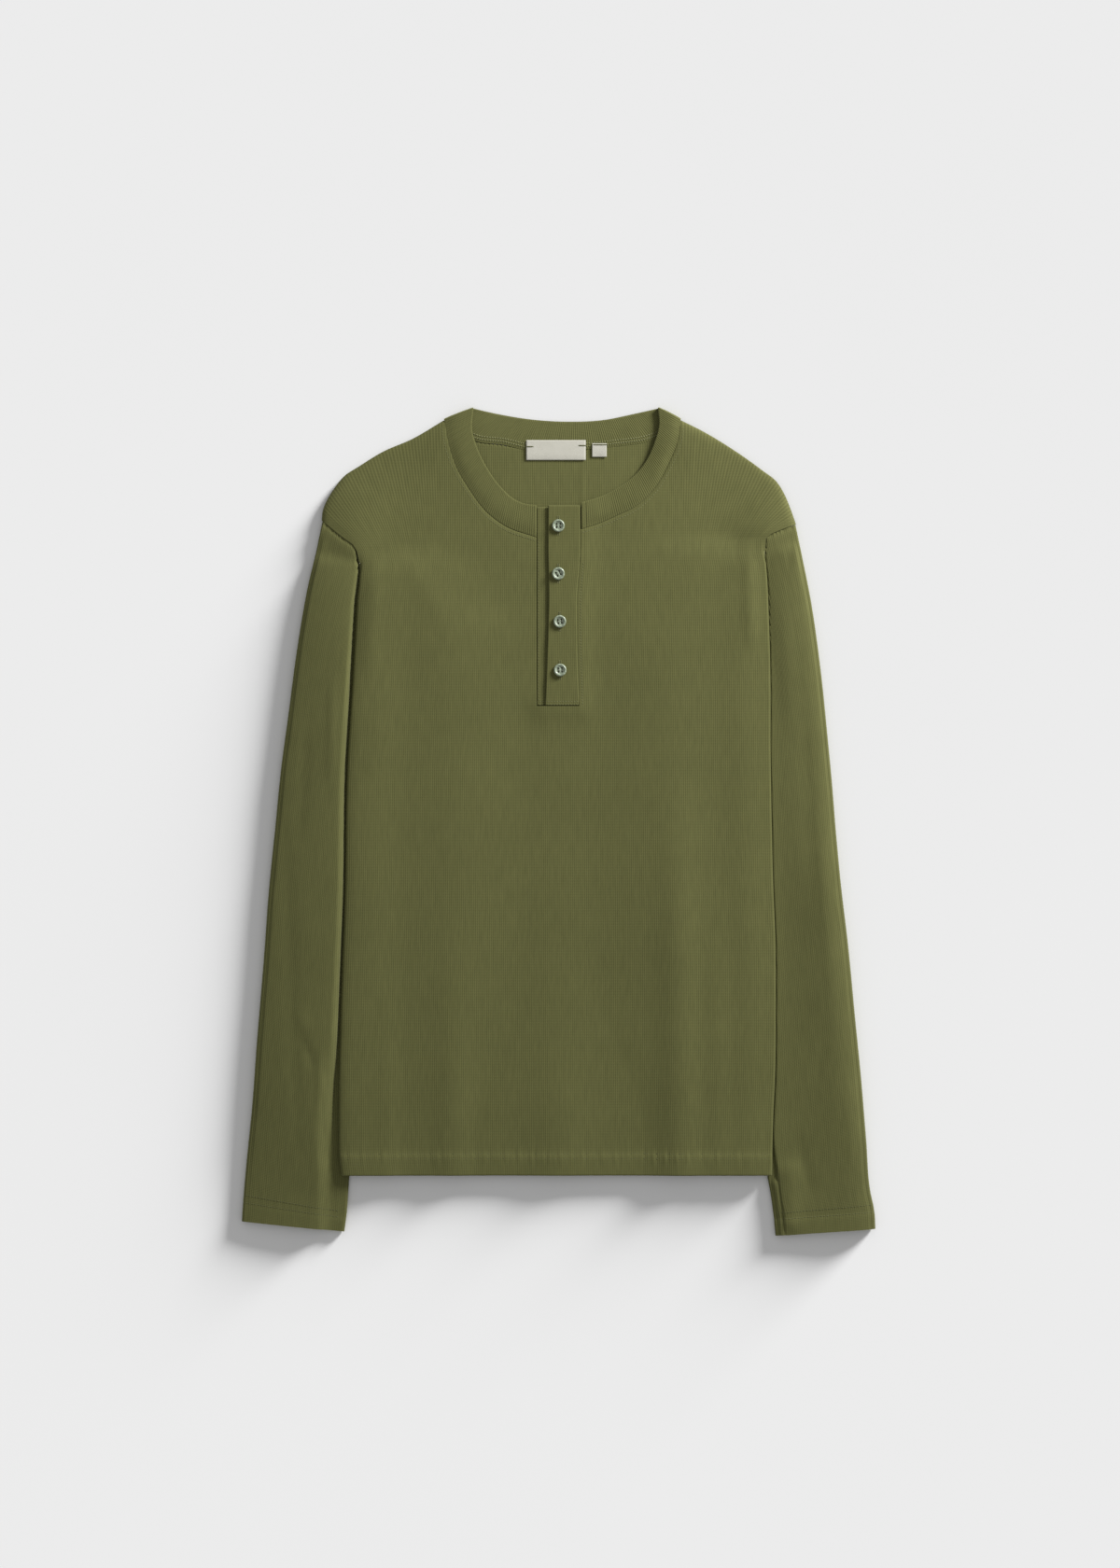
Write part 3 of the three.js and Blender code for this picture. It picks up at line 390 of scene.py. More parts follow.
def add_object(name, data):
    obj = bpy.data.objects.new(name, data)
    bpy.context.scene.collection.objects.link(obj)
    return obj


def new_object(name, vertices, faces, material, uv=None):
    mesh = bpy.data.meshes.new(name)
    mesh.from_pydata((vertices * MM).tolist(), [], faces)
    if uv is not None:
        layer = mesh.uv_layers.new(name="grain")
        corner = np.empty(len(mesh.loops), np.int32)
        mesh.loops.foreach_get("vertex_index", corner)
        layer.data.foreach_set("uv", (uv[corner] * MM).ravel())
    mesh.shade_smooth()
    mesh.set_sharp_from_angle(angle=SHARP_ANGLE)
    mesh.materials.append(material)
    return add_object(name, mesh)


DOWN, OVER = 2, 8  # rows and columns of the outer face to one of the inner face
# The walls of a cell: the neighbour behind each, and the corners between which it runs.
WALLS = [
    ((-1, 0), (0, 1), (0, 0)), ((1, 0), (1, 0), (1, 1)), ((0, -1), (0, 0), (1, 0)), ((0, 1), (1, 1), (0, 1)),
]


def shell(
    name, middle, half, relief, grain, material, down=DOWN, over=OVER, ring=False, keep=None, lower=None,
):
    """A closed wall of cloth: a fine outer face with its ribs, a plain inner face, and its edges."""
    rows, columns = middle.shape[:2]
    normal = grid_normals(middle, ring)
    outer = middle + normal * (half + relief)[..., None]
    under = half if lower is None else lower
    inner = (middle - normal * under[..., None])[::down, ::over]
    cell_rows = (rows - 1) // down
    cell_columns = (columns if ring else columns - 1) // over
    if keep is None:
        keep = np.ones((cell_rows, cell_columns), bool)

    def at(i, j):
        return i * columns + j % columns

    def inner_at(i, j):
        return rows * columns + i * inner.shape[1] + j % inner.shape[1]

    def kept(a, b):
        b = b % cell_columns if ring else b
        return 0 <= a < cell_rows and 0 <= b < cell_columns and keep[a, b]

    r, c = np.nonzero(np.kron(keep, np.ones((down, over), bool)))
    i, j = np.nonzero(keep)
    fine = [at(r, c), at(r, c + 1), at(r + 1, c + 1), at(r + 1, c)]
    plain = [inner_at(i, j), inner_at(i + 1, j), inner_at(i + 1, j + 1), inner_at(i, j + 1)]
    faces = np.stack(fine, 1).tolist() + np.stack(plain, 1).tolist()
    for a, b in zip(i.tolist(), j.tolist()):
        for (na, nb), (a0, b0), (a1, b1) in WALLS:
            if not kept(a + na, b + nb):
                steps = range(1 + (over if a0 == a1 else down))
                edge = [at((a + a0) * down + k * (a1 - a0), (b + b0) * over + k * (b1 - b0)) for k in steps]
                faces.append(edge + [inner_at(a + a1, b + b1), inner_at(a + a0, b + b0)])
    grain = np.stack(np.broadcast_arrays(*grain, middle[..., 0])[:2], -1)
    points = np.concatenate([outer.reshape(-1, 3), inner.reshape(-1, 3)])
    uv = np.concatenate([grain.reshape(-1, 2), grain[::down, ::over].reshape(-1, 2)])
    used = np.unique(np.concatenate(faces))
    place = np.full(len(points), -1)
    place[used] = np.arange(len(used))
    return new_object(name, points[used], [place[face].tolist() for face in faces], material, uv[used])


def ladder(marks):
    """Values from marks of (value, steps to the next mark)."""
    out = []
    for (start, steps), (end, _) in zip(marks, marks[1:]):
        out += np.linspace(start, end, steps, endpoint=False).tolist()
    return np.array(out + [marks[-1][0]])


def drift(x, y):
    """The slight unevenness of cloth that was smoothed down by hand."""
    slow = np.sin(x / 41 + 1.3 + 0.8 * np.sin(y / 77)) * np.sin(y / 63 + 0.4)
    return 0.18 * slow + 0.06 * np.sin(x / 19 + 0.7) * np.sin(y / 31 + x / 60)


def crest(columns, high=RIB_RELIEF):
    """Rib relief for a run of columns, with a crest on the first."""
    return high * np.cos(2 * math.pi * columns / RIB_COLUMNS)


NECK_STITCH = 3.6  # from the neck seam to the stitches beside it
PLACKET_STITCH = 3.2  # from the upper strip's right edge to its stitches
HEM_GROOVE, NECK_GROOVE, PLACKET_GROOVE, CUFF_GROOVE = 0.08, 0.14, 0.12, 0.2  # how deep stitches sink
PUCKER = 0.1  # height of the puckers by the hem's stitches
PUCKER_Y = -304.5
FAN_OVER = 150  # columns within this distance of the armhole bend with it
TOP_DIP, NECK_DIP = 0.3, 0.65  # the front dips at the shoulder seams, and more at the neck seam
FAR = 99  # no edge near
ROLL_COLUMNS = 20
FLAP_COLUMNS = 4
TURN_COLUMNS = ROLL_COLUMNS + FLAP_COLUMNS
HALF_COLUMNS = 376
SLIT_COLUMNS = 88
LOWER_ROWS = ladder([
    (HEM_Y, 2), (HEM_Y + 0.6, 2), (HEM_Y + 2.2, 4), (-308.9, 10), (-299.9, 2), (-292, 32), (68, 8),
    (PLACKET_END_Y, 0),
])
UPPER_ROWS = ladder([(0, 1), (0.02, 13), (1, 0)])[1:]
TOP_ROWS = ladder([(0, 12), (0.9, 2), (0.97, 4), (1, 0)])[1:]


def termination(side, x, neck_line):
    """Where each column of the cloth ends, on the neck seam or beyond it on the shoulder."""
    neck_x = abs(side.neck[0])
    reach = np.abs(x)
    seam_x, seam_y = along(neck_line, np.linspace(0, 1, 400)).T
    order = np.argsort(np.abs(seam_x))
    on_seam = np.stack([x, np.interp(reach, np.abs(seam_x[order]), seam_y[order])], -1)
    share = np.clip((reach - neck_x) / (abs(side.armpit[0]) - neck_x), 0, 1)
    return np.where((reach < neck_x)[:, None], on_seam, along(side.shoulder_line, 1 - share))


def fan(side, base, neck_line, shares):
    """Rows above the armpit, whose columns spread from the base row to the neck and the shoulder."""
    end = termination(side, base[:, 0], neck_line)
    up = shares[:, None]
    bow = along(side.armhole, 1 - shares) - mix(np.array(side.armpit), side.shoulder, up)
    near = 1 - np.clip((abs(side.armpit[0]) - np.abs(base[:, 0])) / FAN_OVER, 0, 1)
    shares = (up ** (1 + 0.4 * (1 - near)), up)
    return [mix(base[:, k], end[:, k], shares[k]) + bow[:, k:k + 1] * near ** 3 for k in (0, 1)]


def front_half(side):
    """One half of the front on its middle surface, from the turned flap to the slit and the neck."""
    inward = -side.sign
    armpit_y = side.armpit[1]
    outer_y, inner_y = (
        np.r_[LOWER_ROWS, mix(PLACKET_END_Y, top, UPPER_ROWS)][:, None] for top in (armpit_y, side.slit_y)
    )
    slit_x = x_at(SLIT_EDGE, inner_y) if side.sign > 0 else SLIT_LEFT + 0 * inner_y
    edge = x_at(side.body_edge, outer_y)
    drop = armpit_y - outer_y
    turned = smooth((drop - ROLL_FROM) / ROLL_OVER)
    flap = FLAP * smooth((drop - FLAP_FROM) / FLAP_OVER)
    cloth = hem_cloth(outer_y)
    top = front_middle(edge + inward * 3, outer_y)
    rolling = smooth(turned * 2)
    radius = mix(EDGE_ROOM + cloth + LAYER_GAP, top - TUCK_LIFT - cloth / 2, rolling) / 2
    bend = math.pi * turned
    arc = math.pi * radius * (1 - HALF_TURN_SAVING * np.sin(bend))
    hanging = radius * np.sin(bend) + (arc - bend * radius) * np.cos(bend)
    extent = np.where(turned < 0.5, hanging, radius)
    start = edge + inward * (extent + turned * cloth / 2)
    top = front_middle(start, outer_y)

    i = np.arange(TURN_COLUMNS, 0, -1)
    past_roll = np.maximum(i - ROLL_COLUMNS, 0) / FLAP_COLUMNS
    turned_run = arc * np.minimum(i, ROLL_COLUMNS) / ROLL_COLUMNS + EDGE_HOLD * past_roll
    run = mix(arc * i / TURN_COLUMNS, turned_run, rolling)
    angle = np.minimum(run / radius, bend)
    past = np.maximum(0, run - bend * radius)
    x = start - inward * (radius * np.sin(angle) + past * np.cos(bend))
    z = top - (radius * (1 - np.cos(angle)) + past * np.sin(bend))
    y = np.broadcast_to(outer_y, x.shape)
    z = mix(front_middle(x, y), z, rolling)
    flap_x = start + inward * (flap + EDGE_HOLD) * past_roll
    flap_z = mix(top - 2 * radius, back_middle(flap_x, y), past_roll)
    is_flap = (turned > 0.9999) & (i > ROLL_COLUMNS)
    side_turn = [np.where(is_flap, flap_x, x), y, np.where(is_flap, flap_z, z)]

    t = np.linspace(0, 1, HALF_COLUMNS + 1)
    body = [mix(start, slit_x, t), mix(outer_y, inner_y, t)]
    body.append(front_middle(*body))
    lower = np.stack([np.hstack(pair) for pair in zip(side_turn, body)], -1)
    upper = fan(side, lower[-1, :, :2], side.neck_seam, TOP_ROWS)
    return np.concatenate([lower, np.stack([*upper, front_middle(*upper)], -1)])


def gaps(middle):
    """How far each point of a panel lies from its side edges, its top edge and its hem."""
    steps = np.linalg.norm(np.diff(middle, axis=1), axis=-1)
    run = np.hstack([np.zeros((len(middle), 1)), np.cumsum(steps, axis=1)])
    from_top = np.linalg.norm(middle - middle[-1:], axis=-1)
    return np.minimum(run, run[:, -1:] - run), from_top, middle[..., 1] - HEM_Y


def front_cloth():
    left = front_half(LEFT)
    right = front_half(RIGHT)[:, ::-1]
    across = np.linspace(0, 1, SLIT_COLUMNS + 1)[1:-1]
    x = mix(left[:, -1:, 0], right[:, :1, 0], across)
    y = left[:, -1:, 1] + 0 * across
    middle = np.concatenate([left, np.stack([x, y, front_middle(x, y)], -1), right], 1)
    x, y, z = np.moveaxis(middle, -1, 0)
    z += drift(x, y)

    side_gap, top_gap, hem_gap = gaps(middle)
    above = np.arange(len(middle))[:, None] > len(LOWER_ROWS) - 1
    right_gap = np.abs(x - x_at(SLIT_EDGE, y))
    slit_gap = np.minimum(0.5 + 2 * np.abs(x - SLIT_LEFT), right_gap * 1.5 + 0.35)
    free = np.minimum.reduce([side_gap, top_gap, hem_gap, np.where(above, slit_gap, FAR)])
    end_x = x[-1:]
    at_neck = np.abs(end_x) < np.where(end_x > 0, RIGHT.neck[0], -LEFT.neck[0])
    z -= mix(TOP_DIP, NECK_DIP, at_neck) * bell(top_gap / 1.5)
    near_top = 1 - np.clip(top_gap / SHOULDER_ROLL, 0, 1)
    z[:] = mix(z, SHOULDER_LOW, (1 - np.sqrt(1 - near_top ** 2)) * (1 - at_neck))

    columns = np.arange(middle.shape[1])
    ribbed = smooth((np.minimum(columns, columns[::-1]) - FLAP_COLUMNS) / 6)
    relief = crest(columns) * ribbed * smooth(free / RIB_FADE)
    for stitch_y in HEM_STITCHES:
        relief = relief - HEM_GROOVE * bell((y - stitch_y) / 0.8)
    relief = relief - NECK_GROOVE * bell((top_gap - NECK_STITCH) / 0.7) * at_neck
    relief = relief - PLACKET_GROOVE * bell((right_gap - PLACKET_STITCH) / 0.7) * above * (x > 0)
    pucker = np.sin(x * 0.62 + 1.7 * np.sin(x / 23)) + 0.6 * np.sin(x * 1.13 + 2 * np.sin(x / 17))
    relief = relief + PUCKER * pucker * bell((y - PUCKER_Y) / 6) * (1 + bell((x - 97) / 24))

    keep = np.ones(((len(middle) - 1) // DOWN, (middle.shape[1] - 1) // OVER), bool)
    first_column = (TURN_COLUMNS + HALF_COLUMNS) // OVER
    keep[(len(LOWER_ROWS) - 1) // DOWN:, first_column:first_column + SLIT_COLUMNS // OVER] = False
    half = half_thickness(free, hem_cloth(y))
    return shell("front_cloth", middle, half, relief, (columns * STEP, y), KNIT, keep=keep)


BACK_COLUMNS = 736
BACK_INSIDE = 1.5  # where the front isn't turned under, the back stands back from its edge
BACK_CREASE = 0.25  # a faint fold down the back, inside the neck
BACK_LOWER_ROWS = ladder([(HEM_Y, 2), (HEM_Y + 1.2, 1), (-303.5, 24), (PLACKET_END_Y, 0)])
BACK_UPPER_ROWS = ladder([(0, 7), (1, 0)])[1:]
BACK_TOP_ROWS = ladder([(0, 13), (0.96, 3), (1, 0)])[1:]


def back_edge(side, y):
    cloth = hem_cloth(y)
    flap = FLAP * smooth((side.armpit[1] - y - FLAP_FROM) / FLAP_OVER)
    edge = x_at(side.body_edge, y)
    radius = (front_middle(edge, y) - TUCK_LIFT - cloth / 2) / 2
    plain = BACK_INSIDE * (1 - flap / FLAP)
    reach = cloth / 2 + np.maximum(radius, 1) + flap + EDGE_HOLD + SEAM_GAP + plain
    return edge - side.sign * reach


def back_cloth():
    left_y, right_y = (
        np.r_[BACK_LOWER_ROWS, mix(PLACKET_END_Y, side.armpit[1], BACK_UPPER_ROWS)][:, None]
        for side in SIDES
    )
    t = np.linspace(0, 1, BACK_COLUMNS + 1)
    x = mix(back_edge(LEFT, left_y), back_edge(RIGHT, right_y), t)
    y = mix(left_y, right_y, t)
    base = np.stack([x[-1], y[-1]], -1)
    half_way = BACK_COLUMNS // 2 + 1
    left = fan(LEFT, base[:half_way], BACK_NECK, BACK_TOP_ROWS)
    right = fan(RIGHT, base[half_way:], BACK_NECK, BACK_TOP_ROWS)
    x, y = (np.vstack([v, np.hstack([left[k], right[k]])]) for k, v in enumerate((x, y)))
    crease = BACK_CREASE * smooth((y - 200) / 60) * bell((x - 22) / 2.2) * smooth((345 - y) / 40)
    middle = np.stack([x, y, back_middle(x, y) + crease], -1)
    free = np.minimum.reduce(gaps(middle))
    columns = np.arange(BACK_COLUMNS + 1)
    relief = crest(columns) * smooth(free / RIB_FADE) * smooth((y - 150) / 20)
    half = half_thickness(free, hem_cloth(y))
    return shell("back_cloth", middle, half, relief, (columns * STEP, y), KNIT)


# Sleeves
SLEEVE_SHARES = ladder([(0.0012, 3), (0.008, 8), (0.06, 10), (0.16, 62), (0.9, 12), (0.993, 0)])
SEAM_EASE = 85  # the sleeve takes on its own height over this length below the armhole
CUFF_LOW_FROM = -250  # the sleeve flattens towards its cuff
CUFF_LOW_OVER = 110
CUFF_TOP = 3.6
CUFF_DEPTH = 17.5
OUTER_COLUMNS = 16
UPPER_COLUMNS = 192
TUCKED_COLUMNS = 12
INNER_COLUMNS = 8
FLOOR_COLUMNS = 28
SLEEVE_FOLDS = {
    -1: [
        (-250, 30, -236, -330, 7, -0.5, 0.3),
        (-238, -188, -216, -236, 4, -0.9, 0.45),
        (-224, -214, -206, -262, 4, 0.7, 0.45),
        (-246, -160, -222, -200, 5, 0.6, 0.45),
        (-218, -262, -203, -330, 6, -1.0, 0.4),
        (-205, 150, -207, 20, 5, 0.7, 0.4),
        (-226, 120, -238, -40, 6, -0.5, 0.4),
    ],
    1: [
        (234, 60, 268, -350, 27, 3.5, 0.3),
        (210, -305, 212, -379, 10, 2.0, 0.2),
        (219, 262, 213, 226, 3, 0.6, 0.4),
        (204, 232, 214, 60, 8, 0.6, 0.35),
        (222, 120, 232, -90, 8, -0.6, 0.35),
        (236, 20, 252, -200, 7, 0.5, 0.35),
        (246, -180, 232, -250, 6, -0.5, 0.4),
        (262, -220, 268, -330, 6, 0.5, 0.4),
        (214, -270, 232, -350, 6, -0.6, 0.4),
    ],
}


def sleeve_sections(side):
    """The outer and inner end of each section, how far it keeps the armhole's curve, and if it is cuff."""
    past = ladder([(0.04, 2), (0.12, 5), (0.85, 3), (1, 0)])
    heights = []
    for k, (_, start), line in ((0, side.shoulder, side.sleeve_outer), (1, side.underarm, side.sleeve_inner)):
        stitch, end = side.cuff_stitch[k], line[-1][1]
        heights.append(np.r_[start, mix(start, stitch, SLEEVE_SHARES), mix(stitch, end, past)])
    curved = np.r_[1, 1 - smooth(SLEEVE_SHARES / CURVED_TO), 0 * past]
    cuff = np.r_[0, 0 * SLEEVE_SHARES, smooth(past / 0.3)]
    return *heights, curved, cuff


def sleeve_cloth(side, name):
    sign = side.sign
    seam = [(x - sign * SEAM_LAP, y + SEAM_LAP) for x, y in side.armhole + side.tucked_armhole[1:]]
    seam_long = length_of(seam)
    shown = length_of(side.armhole)
    outer_y, inner_y, curved, cuffs = sleeve_sections(side)
    outer_x = x_at(side.sleeve_outer, outer_y)
    inner_x = x_at(side.sleeve_inner, inner_y)
    outer_x[0], inner_x[0] = side.shoulder[0], side.underarm[0]
    knots, heights = np.array(side.puff).T
    end_x, end_y = side.sleeve_outer[-1]
    rings, runs, halves, reliefs = [], [], [], []
    run = 0
    last_mid = None
    for ox, oy, ix, iy, bow, cuff in zip(outer_x, outer_y, inner_x, inner_y, curved, cuffs):
        cloth = mix(CLOTH, HEM_CLOTH, cuff)
        floor = cloth / 2
        tuck_top = floor + 2 * TUCK_ROLL
        width = mix(math.hypot(ix - ox, iy - oy), seam_long, bow)

        def place(distance):
            """Where a point of the section lies, between a straight one and the armhole's curve."""
            t = np.clip(distance / width, 0, 1)
            on_seam = along(seam, t)
            return [
                mix(mix(o, i, t), on_seam[:, k] + mix(o - side.shoulder[k], i - side.underarm[k], t), bow)
                for k, o, i in ((0, ox, ix), (1, oy, iy))
            ]

        roll = mix(OUTER_ROLL, TUCK_ROLL, bow)
        first = floor + roll
        last = width - floor - TUCK_ROLL
        probe = np.linspace(0, width, 500)
        px, py = place(probe)
        hidden = (px - x_at(side.body_edge, py)) * sign <= x_at(side.clear, py)
        meet = probe[np.argmax(hidden)] if hidden.any() else 0.9 * width
        if bow == 1:
            meet = shown
        meet = max(first + 10, min(meet, 0.9 * width))

        def upper(distance):
            """The height of the upper face: full beside the body, low at its edges and beneath the body."""
            px, py = place(distance)
            under_front = front_middle(px, py)
            puff = hermite(knots, heights, (distance - first) / (meet - first))
            low = CUFF_TOP + 0.12 * (distance - first) / (1 + 0.04 * (distance - first))
            lowered = side.cuff_low * smooth((CUFF_LOW_FROM - py) / CUFF_LOW_OVER)
            puff = mix(puff, np.minimum(puff, low), lowered)
            puff = mix(np.minimum(under_front, puff), puff, smooth(run / SEAM_EASE))
            edge_top = mix(floor + 2 * roll, np.minimum(heights[0], puff), EDGE_TOP)
            puff = mix(edge_top, puff, smooth((distance - first) / 4))
            sinking = side.sink * smooth((SINK_FROM - py) / SINK_OVER)
            puff = puff - sinking * smooth(1 - (meet - distance) / SINK_WIDTH)
            tucked = 1 - np.sqrt(1 - np.clip(1 - (meet - distance) / side.crevice, 0, 1) ** 2)
            open_end = mix(puff, tuck_top, smooth(1 - (last - distance) / side.end_reach))
            z = mix(open_end, tuck_top, tucked * smooth((py - HEM_Y + 7) / 6))
            z = z + fold_height(px, py, SLEEVE_FOLDS[sign]) * (1 - smooth(tucked))
            seamed = np.where(distance <= meet, under_front, tuck_top)
            pucker = 1 + 0.25 * np.sin(1.3 * distance + 2.2 * np.sin(0.35 * distance))
            sunk = SEAM_SINK * pucker * bell(run / SEAM_SINK_REACH)
            return mix(z, seamed, smooth((bow - 0.965) / 0.035)) - sunk

        angle = math.pi * np.arange(OUTER_COLUMNS) / OUTER_COLUMNS
        inner_angle = math.pi * np.arange(INNER_COLUMNS) / INNER_COLUMNS
        upper_run = first + STEP * np.arange(UPPER_COLUMNS)
        tucked_run = mix(upper_run[-1], last, np.arange(1, TUCKED_COLUMNS + 1) / (TUCKED_COLUMNS + 1))
        floor_run = mix(last, first, np.arange(FLOOR_COLUMNS) / FLOOR_COLUMNS)
        inner_run = last + TUCK_ROLL * np.sin(inner_angle)
        distance = np.r_[first - roll * np.sin(angle), upper_run, tucked_run, inner_run, floor_run]
        joined = upper(np.r_[upper_run, tucked_run])
        z = np.r_[
            floor + (joined[0] - floor) * (1 - np.cos(angle)) / 2,
            joined,
            floor + TUCK_ROLL * (1 + np.cos(inner_angle)),
            np.full(FLOOR_COLUMNS, floor),
        ]
        rings.append(np.stack([*place(distance), z], -1))
        mid = np.array(place(np.array([width / 3])))[:, 0]
        if last_mid is not None:
            run += float(np.hypot(*(mid - last_mid)))
        last_mid = mid
        to_end = math.hypot(ox - end_x, oy - end_y)
        free = min(run + 0.5, to_end)
        columns = np.arange(len(distance))
        ribbed = columns < OUTER_COLUMNS + UPPER_COLUMNS
        runs.append(-run)
        halves.append(half_thickness(free, cloth) + 0 * columns)
        groove = CUFF_GROOVE * bell(to_end - CUFF_DEPTH)
        reliefs.append(crest(columns) * ribbed * smooth(free / RIB_FADE) - groove)
    middle, half, relief = (np.array(v) for v in (rings, halves, reliefs))
    upper_face = slice(OUTER_COLUMNS - 2, OUTER_COLUMNS + UPPER_COLUMNS)
    shift = np.array([0, 0, CLOTH / 2 + 0.15])
    side.cuff_rows = [middle[len(SLEEVE_SHARES) + k, upper_face] + shift for k in (0, 3)]
    across = columns * STEP
    if sign < 0:
        middle, half, relief = (v[:, ::-1] for v in (middle, half, relief))
        across = across[::-1]
    return shell(name, middle, half, relief, (across, np.array(runs)[:, None]), KNIT, ring=True)


# Neckband
BACK_BAND_Z = BAND / 2
BACK_SEAM_Z = CLOTH / 2 + 0.3
BACK_SEAM_LAP = 0.7  # the band laps over the back along its seam
FRONT_BAND_Z = BACK_BAND_Z + BAND + REST_GAP + 0.1
FRONT_END_Z = 3.05  # its height at the placket
LEFT_BAND_STEPS = 280
RIGHT_BAND_STEPS = 288
BACK_BAND_STEPS = 432
BAND_FOLD_STEPS = 8
BAND_SHARES = np.array([0, 0.025, 0.07, 0.15, 0.28, 0.42, 0.58, 0.72, 0.85, 0.93, 0.975, 1])
BAND_PUSH = 0.3  # the fold at the shoulder stands out less than its height
BAND_JOIN_X = 24.6  # the margin of the placket crosses the band here


def band_side(side, steps):
    """Stations of the front band: seam, free edge, height at both, and how far it is pushed out."""
    up = np.linspace(0, 1, steps + 1)
    end = PLACKET_LIFT * (side.sign > 0) * (1 - smooth(up * 4))
    corner = side.band_rise * smooth((up - 0.45) / 0.4)
    high = mix(FRONT_END_Z, FRONT_BAND_Z, smooth(up * 1.6)) + end + corner
    seam = along(side.neck_seam, up)
    low = front_middle(*seam.T) + drift(*seam.T) - 0.1
    return seam, along(side.band_edge, up), low, high, 0 * up


def band_fold(station, upward):
    """The half turn at the shoulder, where the band passes from the front to the back."""
    seam, edge, low, high, _ = (v[-1:] for v in station)
    angle = math.pi * np.arange(1, BAND_FOLD_STEPS) / BAND_FOLD_STEPS
    risen = (1 + np.cos(math.pi - angle if upward else angle)) / 2
    seam, edge = (np.repeat(v, len(angle), 0) for v in (seam, edge))
    push = BAND_PUSH * (high - BACK_BAND_Z) / 2 * np.sin(angle)
    return seam, edge, mix(BACK_SEAM_Z, low, risen), mix(BACK_BAND_Z, high, risen), push


def neckband():
    left = band_side(LEFT, LEFT_BAND_STEPS)
    right = band_side(RIGHT, RIGHT_BAND_STEPS)
    share = np.linspace(0, 1, BACK_BAND_STEPS + 1)
    back_seam = along(BACK_NECK, share)
    back_seam[:, 1] -= BACK_SEAM_LAP * smooth(share / 0.04) * smooth((1 - share) / 0.04)
    flat = 0 * share
    back = (back_seam, along(BACK_BAND_TOP, share), flat + BACK_SEAM_Z, flat + BACK_BAND_Z, flat)
    parts = [left, band_fold(left, False), back, band_fold(right, True), [v[::-1] for v in right]]
    seam, edge, low, high, push = (np.concatenate([part[k] for part in parts]) for k in range(5))
    across = edge - seam
    length = np.hypot(*across.T)[:, None]
    across = across / length
    away = np.stack([-across[:, 1], across[:, 0]], -1)
    away = np.where(away[:, 1:] < 0, -away, away) * push[:, None]
    run = BAND_SHARES * length
    x, y = (seam[:, k:k + 1] + across[:, k:k + 1] * run + away[:, k:k + 1] for k in (0, 1))
    z = mix(low[:, None], high[:, None], smooth(BAND_SHARES / 0.35))
    stations = np.arange(len(high))
    end_gap = np.minimum(stations, stations[::-1])[:, None] * STEP
    free = np.minimum.reduce([run + 0.3, length - run, end_gap + 0 * run])
    crown = 1 - 0.45 * smooth((BAND_SHARES - 0.55) / 0.45)
    thick = mix(CLOTH, BAND, smooth(BAND_SHARES / 0.25))
    half = thick / BAND * crown * half_thickness(free, BAND)
    relief = crest(stations, BAND_RELIEF)[:, None] * smooth(free)
    join = 0.3 * bell((x - BAND_JOIN_X) / 0.5) * (z > 2.5) * (y < 300)
    grain = (stations[:, None] * STEP, run)
    middle = np.stack([x, y, z], -1)
    return shell("neckband_cloth", middle, half, relief - join, grain, KNIT, 1, 1, lower=half + relief)


# Placket
UNDER_STRIP_Z = CLOTH * 1.5 + LAYER_GAP
UNDER_STRIP_DROP = 0.3  # it lies lower beneath the upper strip
UNDER_STRIP_RIGHT = 15
UNDER_STRIP_TOP = PLACKET_TOP_Y - 1.5
TOP_STRIP_Z = UNDER_STRIP_Z + CLOTH / 2 + REST_GAP + BAND / 2
TOP_STRIP_LEFT = [
    (-9.4, 288), (-9.6, 245.9), (-8.9, 206.8), (-9.8, 167.7), (-11.4, 121.8), (STRIP_FOOT_X, 105),
]
STRIP_ROWS = ladder([(0, 3), (0.008, 50), (0.992, 3), (1, 0)])
STRIP_COLUMNS = 68
STRIP_EDGE = 1.0  # the outer columns are drawn in over this width
STRIP_FOOT_DROP = 0.4


def strip(name, left, right, foot, top, level, cloth):
    y = mix(foot, top, STRIP_ROWS)[:, None]
    x0, x1 = left(y), right(y)
    inner = mix(x0 + STRIP_EDGE, x1 - STRIP_EDGE, np.linspace(0, 1, STRIP_COLUMNS + 1))
    edge = STRIP_EDGE * np.array([[0, 0.12, 0.4]])
    x, y = np.broadcast_arrays(np.hstack([x0 + edge, inner, (x1 - edge)[:, ::-1]]), y)
    free = np.minimum.reduce([x - x0, x1 - x, y - foot, top - y])
    columns = np.arange(x.shape[1]) - edge.shape[1]
    middle = np.stack([x, y, level(x, y)], -1)
    relief = crest(columns) * smooth(free)
    return shell(name, middle, half_thickness(free, cloth), relief, (columns * STEP, y), KNIT, 1, 1)


def under_strip_level(x, y):
    return UNDER_STRIP_Z - UNDER_STRIP_DROP * smooth((x + 15) / 5)


def top_strip_level(x, y):
    """The upper strip waves a little between its buttons, most at its free left edge."""
    loose = smooth((4 - x) / 14)
    wave = sum(bell((y - by) / 9) for _, by in BUTTONS)
    sewn_down = 1 - smooth((y - PLACKET_END_Y) / 22)
    return TOP_STRIP_Z + 0.25 * loose * (0.5 - wave) * (1 - sewn_down) - STRIP_FOOT_DROP * sewn_down


